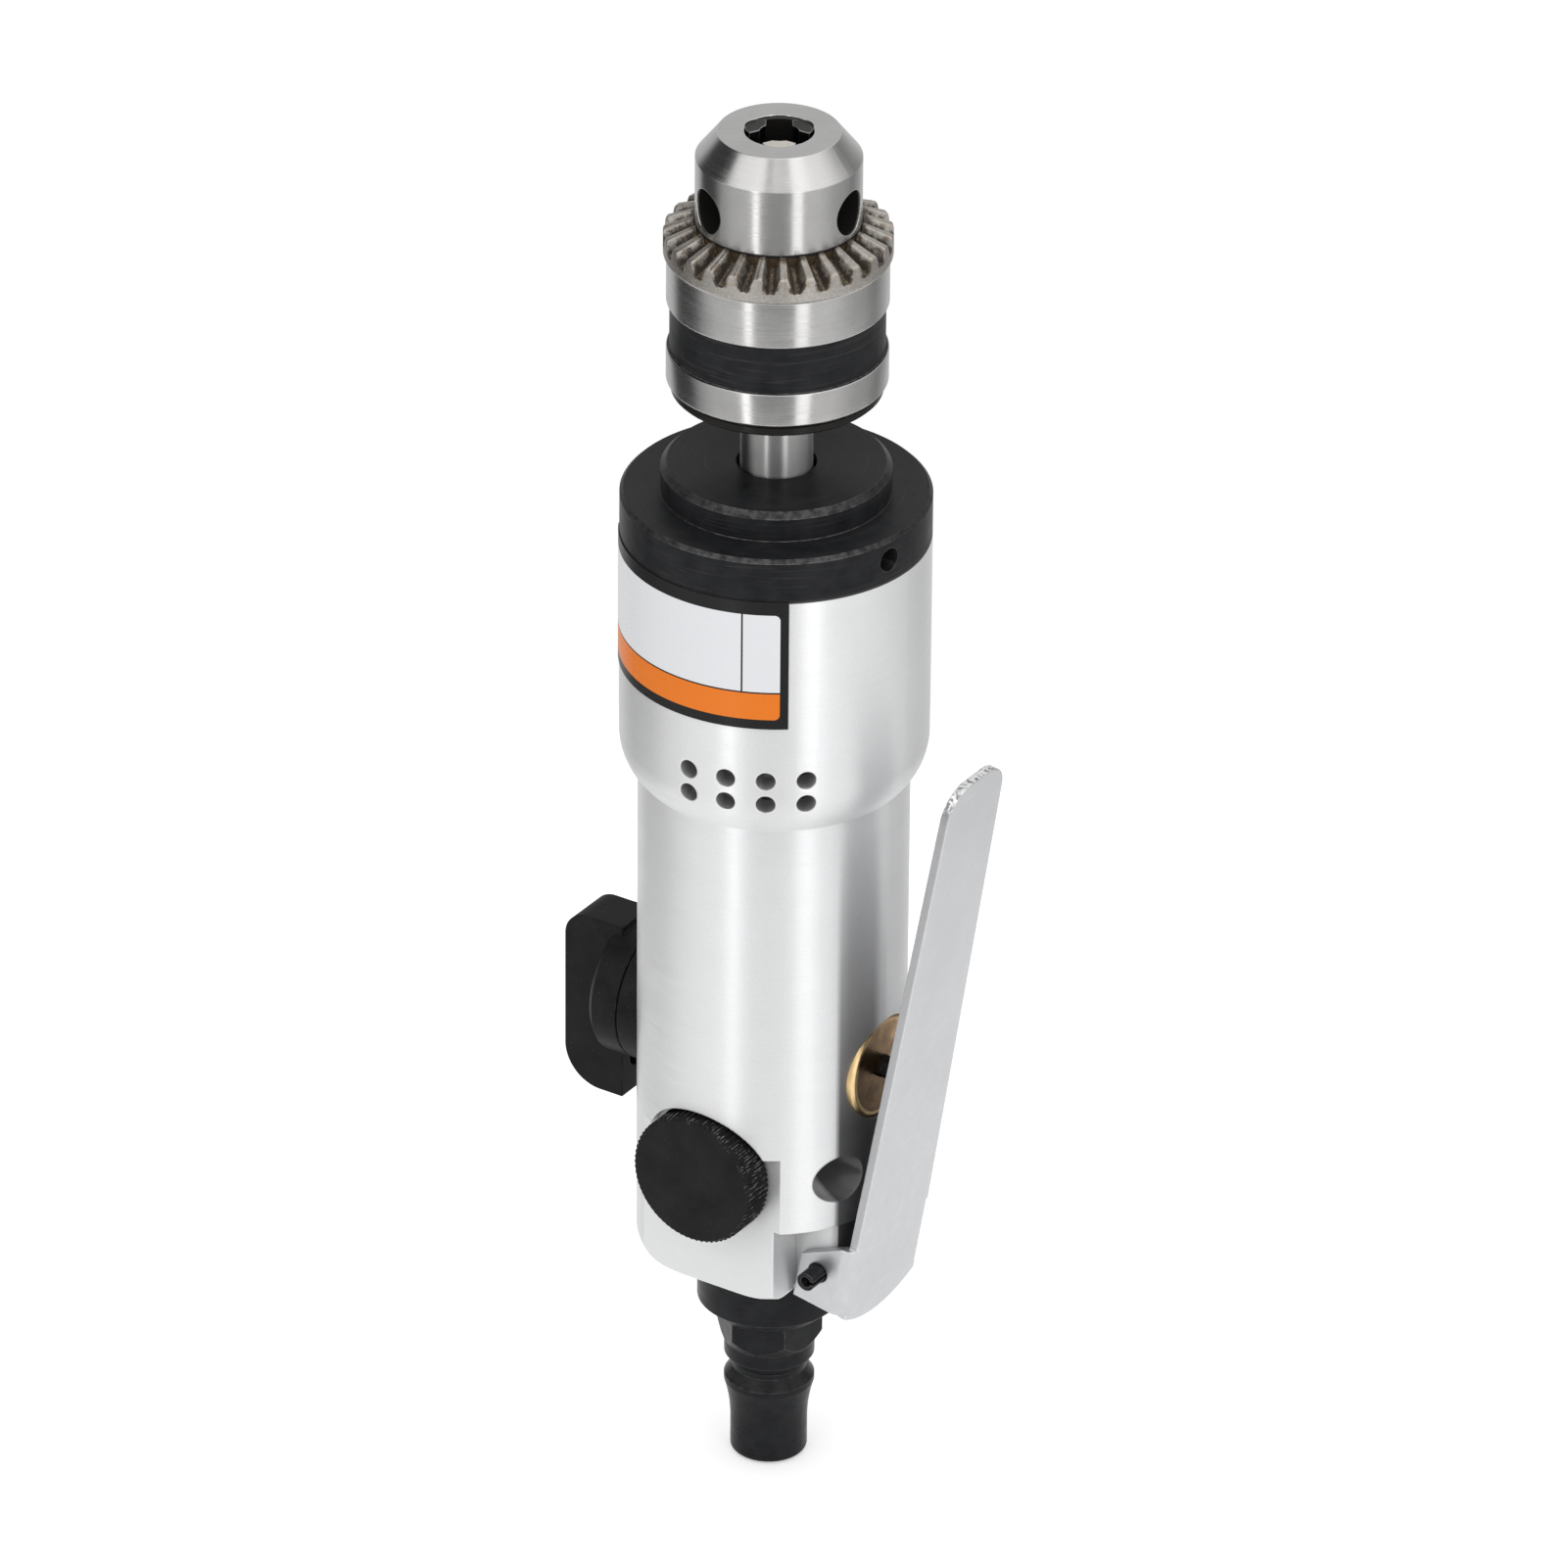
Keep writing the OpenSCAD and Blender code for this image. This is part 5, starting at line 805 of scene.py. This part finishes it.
def make_valve_spring(wire=0.7, turns=4, steps_per_turn=28, sides=10):
    """A round tube along a helix: at share s, its centre has turned by 2 pi turns s and gone s of the
    way along X."""
    low, high = (np.array(corner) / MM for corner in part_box("throttle_spring"))
    centre, coil_r = (low + high) / 2, (high[2] - low[2] - wire) / 2
    share = np.linspace(0, 1, turns * steps_per_turn + 1)
    share, tube_r = np.concatenate([[0], share, [1]]), np.full(len(share) + 2, wire / 2)
    tube_r[[0, -1]] = 0.01
    turn, side = 2 * np.pi * turns * share, np.arange(sides) * 2 * np.pi / sides
    reach = coil_r + tube_r[:, None] * np.cos(side)
    along = low[0] + wire / 2 + (high[0] - low[0] - wire) * share[:, None] + tube_r[:, None] * np.sin(side)
    across, up = centre[1] + reach * np.cos(turn)[:, None], centre[2] + reach * np.sin(turn)[:, None]
    mesh = skin("wound_spring", np.stack([along, across, up], -1), close_rows=False)
    return mesh, Vector(low) * MM, high[0] - low[0]


spring_mesh, spring_foot, spring_length = make_valve_spring()
spring_slot = SLOT_OF["throttle_spring"]
wound_spring = put_down(spring_mesh, [hardened_steel], "housing", spring_slot, "throttle_spring")
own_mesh(wound_spring)

# %% [markdown]
# ## Floor
# The drill stands on a white sheet in front of white. The sheet glows a little for camera, glossy
# and transmitted rays, and takes the rest of its white from the lamps, so it keeps the shadow.

# %% Floor
FLOOR_Z = cad_box[0].z - 0.0002
FLOOR_REACH, SPOKES, RINGS = 0.24, 96, 8


def make_floor():
    """A flat disc: points at (radius cos t, radius sin t) on a grid of rings and spokes."""
    row = SPOKES + 1
    turn, reach = np.meshgrid(np.linspace(0, 2 * np.pi, row), np.linspace(0.001, FLOOR_REACH, RINGS))
    points = np.stack([reach * np.cos(turn), reach * np.sin(turn), np.full(turn.shape, FLOOR_Z)], -1)
    first = (np.arange(RINGS - 1)[:, None] * row + np.arange(SPOKES)).ravel()
    faces = np.stack([first, first + row, first + row + 1, first + 1], 1)
    mesh = bpy.data.meshes.new("floor")
    mesh.from_pydata(points.reshape(-1, 3).tolist(), [], faces.tolist())
    floor = bpy.data.objects.new("floor", mesh)
    bpy.context.scene.collection.objects.link(floor)
    return floor


def seen_rays(tree):
    """1 for camera, glossy and transmission rays, and 0 for the rays that only carry light."""
    path = put(tree, "LightPath").outputs
    return sums(tree, "MAXIMUM", sums(tree, "MAXIMUM", path["Is Camera Ray"], path["Is Glossy Ray"]),
                path["Is Transmission Ray"])


white_sheet, tree, shader = open_finish("white_sheet", (0.85, 0.85, 0.85), 0.0, 0.9)
shader.inputs["Specular IOR Level"].default_value = 0.0
strength = times(tree, seen_rays(tree), 0.42)
glow = put(tree, "Emission", {"Color": (1, 1, 1, 1), "Strength": strength})
both = put(tree, "AddShader", {0: shader.outputs[0], 1: glow.outputs[0]})
tree.links.new(both.outputs[0], tree.nodes["Material Output"].inputs["Surface"])
floor = make_floor()
floor.data.materials.append(white_sheet)
print("floor at", round(FLOOR_Z / MM, 2), "mm")

# %% [markdown]
# ## Room and lamps
# Metal lives on what it mirrors: two upright lamp panels left and right of the camera give the
# bright bands, and the room behind the camera is greyer than the backdrop. The room is two rings of
# grey by bearing, one level with the drill and one above it, where the cone of the nose looks.

# %% Room and lamps
studio = bpy.data.worlds.new("studio")
bpy.context.scene.world = studio
studio.use_nodes = True
tree = studio.node_tree
tree.nodes.clear()
way = put(tree, "SeparateXYZ", {0: put(tree, "TexCoord").outputs["Generated"]}).outputs
facing = sums(tree, "SUBTRACT", times(tree, way[0], math.sin(TURN)), times(tree, way[1], math.cos(TURN)))
beside = sums(tree, "ADD", times(tree, way[0], math.cos(TURN)), times(tree, way[1], math.sin(TURN)))
bearing = sums(tree, "ARCTAN2", beside, facing)


def room_ring(whites):
    """The room's white by bearing from the camera: straight lines between (degrees, white) pairs."""
    ring = put(tree, "ValToRGB", {0: remap(tree, bearing, -math.pi, math.pi, 0.0, 1.0)})
    stops = ring.color_ramp.elements
    while len(stops) < len(whites):
        stops.new(0.5)
    for stop, (degrees, white) in zip(list(stops), whites):
        stop.position = degrees / 360 + 0.5
        stop.color = (white, white, white, 1)
    return ring.outputs[0]


ROOM_LEVEL = (
    (-180, 0.7), (-142, 0.7), (-127, 0.06), (-98, 0.08), (-83, 0.5), (-68, 0.72), (-44, 0.78), (-12, 0.46),
    (10, 0.48), (42, 0.9), (58, 0.88), (84, 0.6), (104, 0.5), (122, 0.3), (140, 0.5), (158, 0.7),
    (180, 0.7))
ROOM_ABOVE = (
    (-180, 0.9), (-158, 0.9), (-150, 0.0), (-86, 0.0), (-79, 1.5), (-26, 1.6), (-21, 0.68), (19, 0.68),
    (24, 1.55), (84, 1.5), (104, 1.25), (124, 0.9), (142, 0.75), (160, 0.88), (180, 0.9))
path = put(tree, "LightPath").outputs
around = tint(tree, remap(tree, way[2], 0.3, 0.6, 0.0, 1.0), room_ring(ROOM_LEVEL), room_ring(ROOM_ABOVE))
shown = tint(tree, path["Is Camera Ray"], around, (1, 1, 1))
lit = tint(tree, seen_rays(tree), (0.85, 0.85, 0.85), shown)
back = put(tree, "Background", {"Color": lit, "Strength": 1.0})
tree.links.new(back.outputs[0], put(tree, "OutputWorld").inputs["Surface"])


LAMP_AIM = Vector((0, 0, 0.11))


def lamp_panel(name, turn_from_camera, lift, distance, width, height, brightness):
    """An upright area lamp that faces the drill; its power is brightness times pi times its area."""
    lamp = bpy.data.lights.new(name, "AREA")
    lamp.shape, lamp.size, lamp.size_y = "RECTANGLE", width, height
    lamp.energy = brightness * math.pi * width * height
    around = TURN + math.radians(turn_from_camera)
    out = Vector((math.sin(around) * math.cos(lift), -math.cos(around) * math.cos(lift), math.sin(lift)))
    panel = bpy.data.objects.new(name, lamp)
    panel.location = LAMP_AIM + out * distance
    panel.rotation_mode = "QUATERNION"
    panel.rotation_quaternion = (-out).to_track_quat("-Z", "Y")
    bpy.context.scene.collection.objects.link(panel)
    return panel


lamps = [
    lamp_panel("left_lamp", -31, 0.0, 0.9, 0.13, 1.6, 1.9),
    lamp_panel("right_lamp", 26, 0.0, 0.9, 0.22, 1.6, 1.32),
    lamp_panel("top_lamp", 20, math.radians(70), 0.9, 0.6, 0.5, 0.8),
]
print("lamps:", [lamp.name for lamp in lamps])
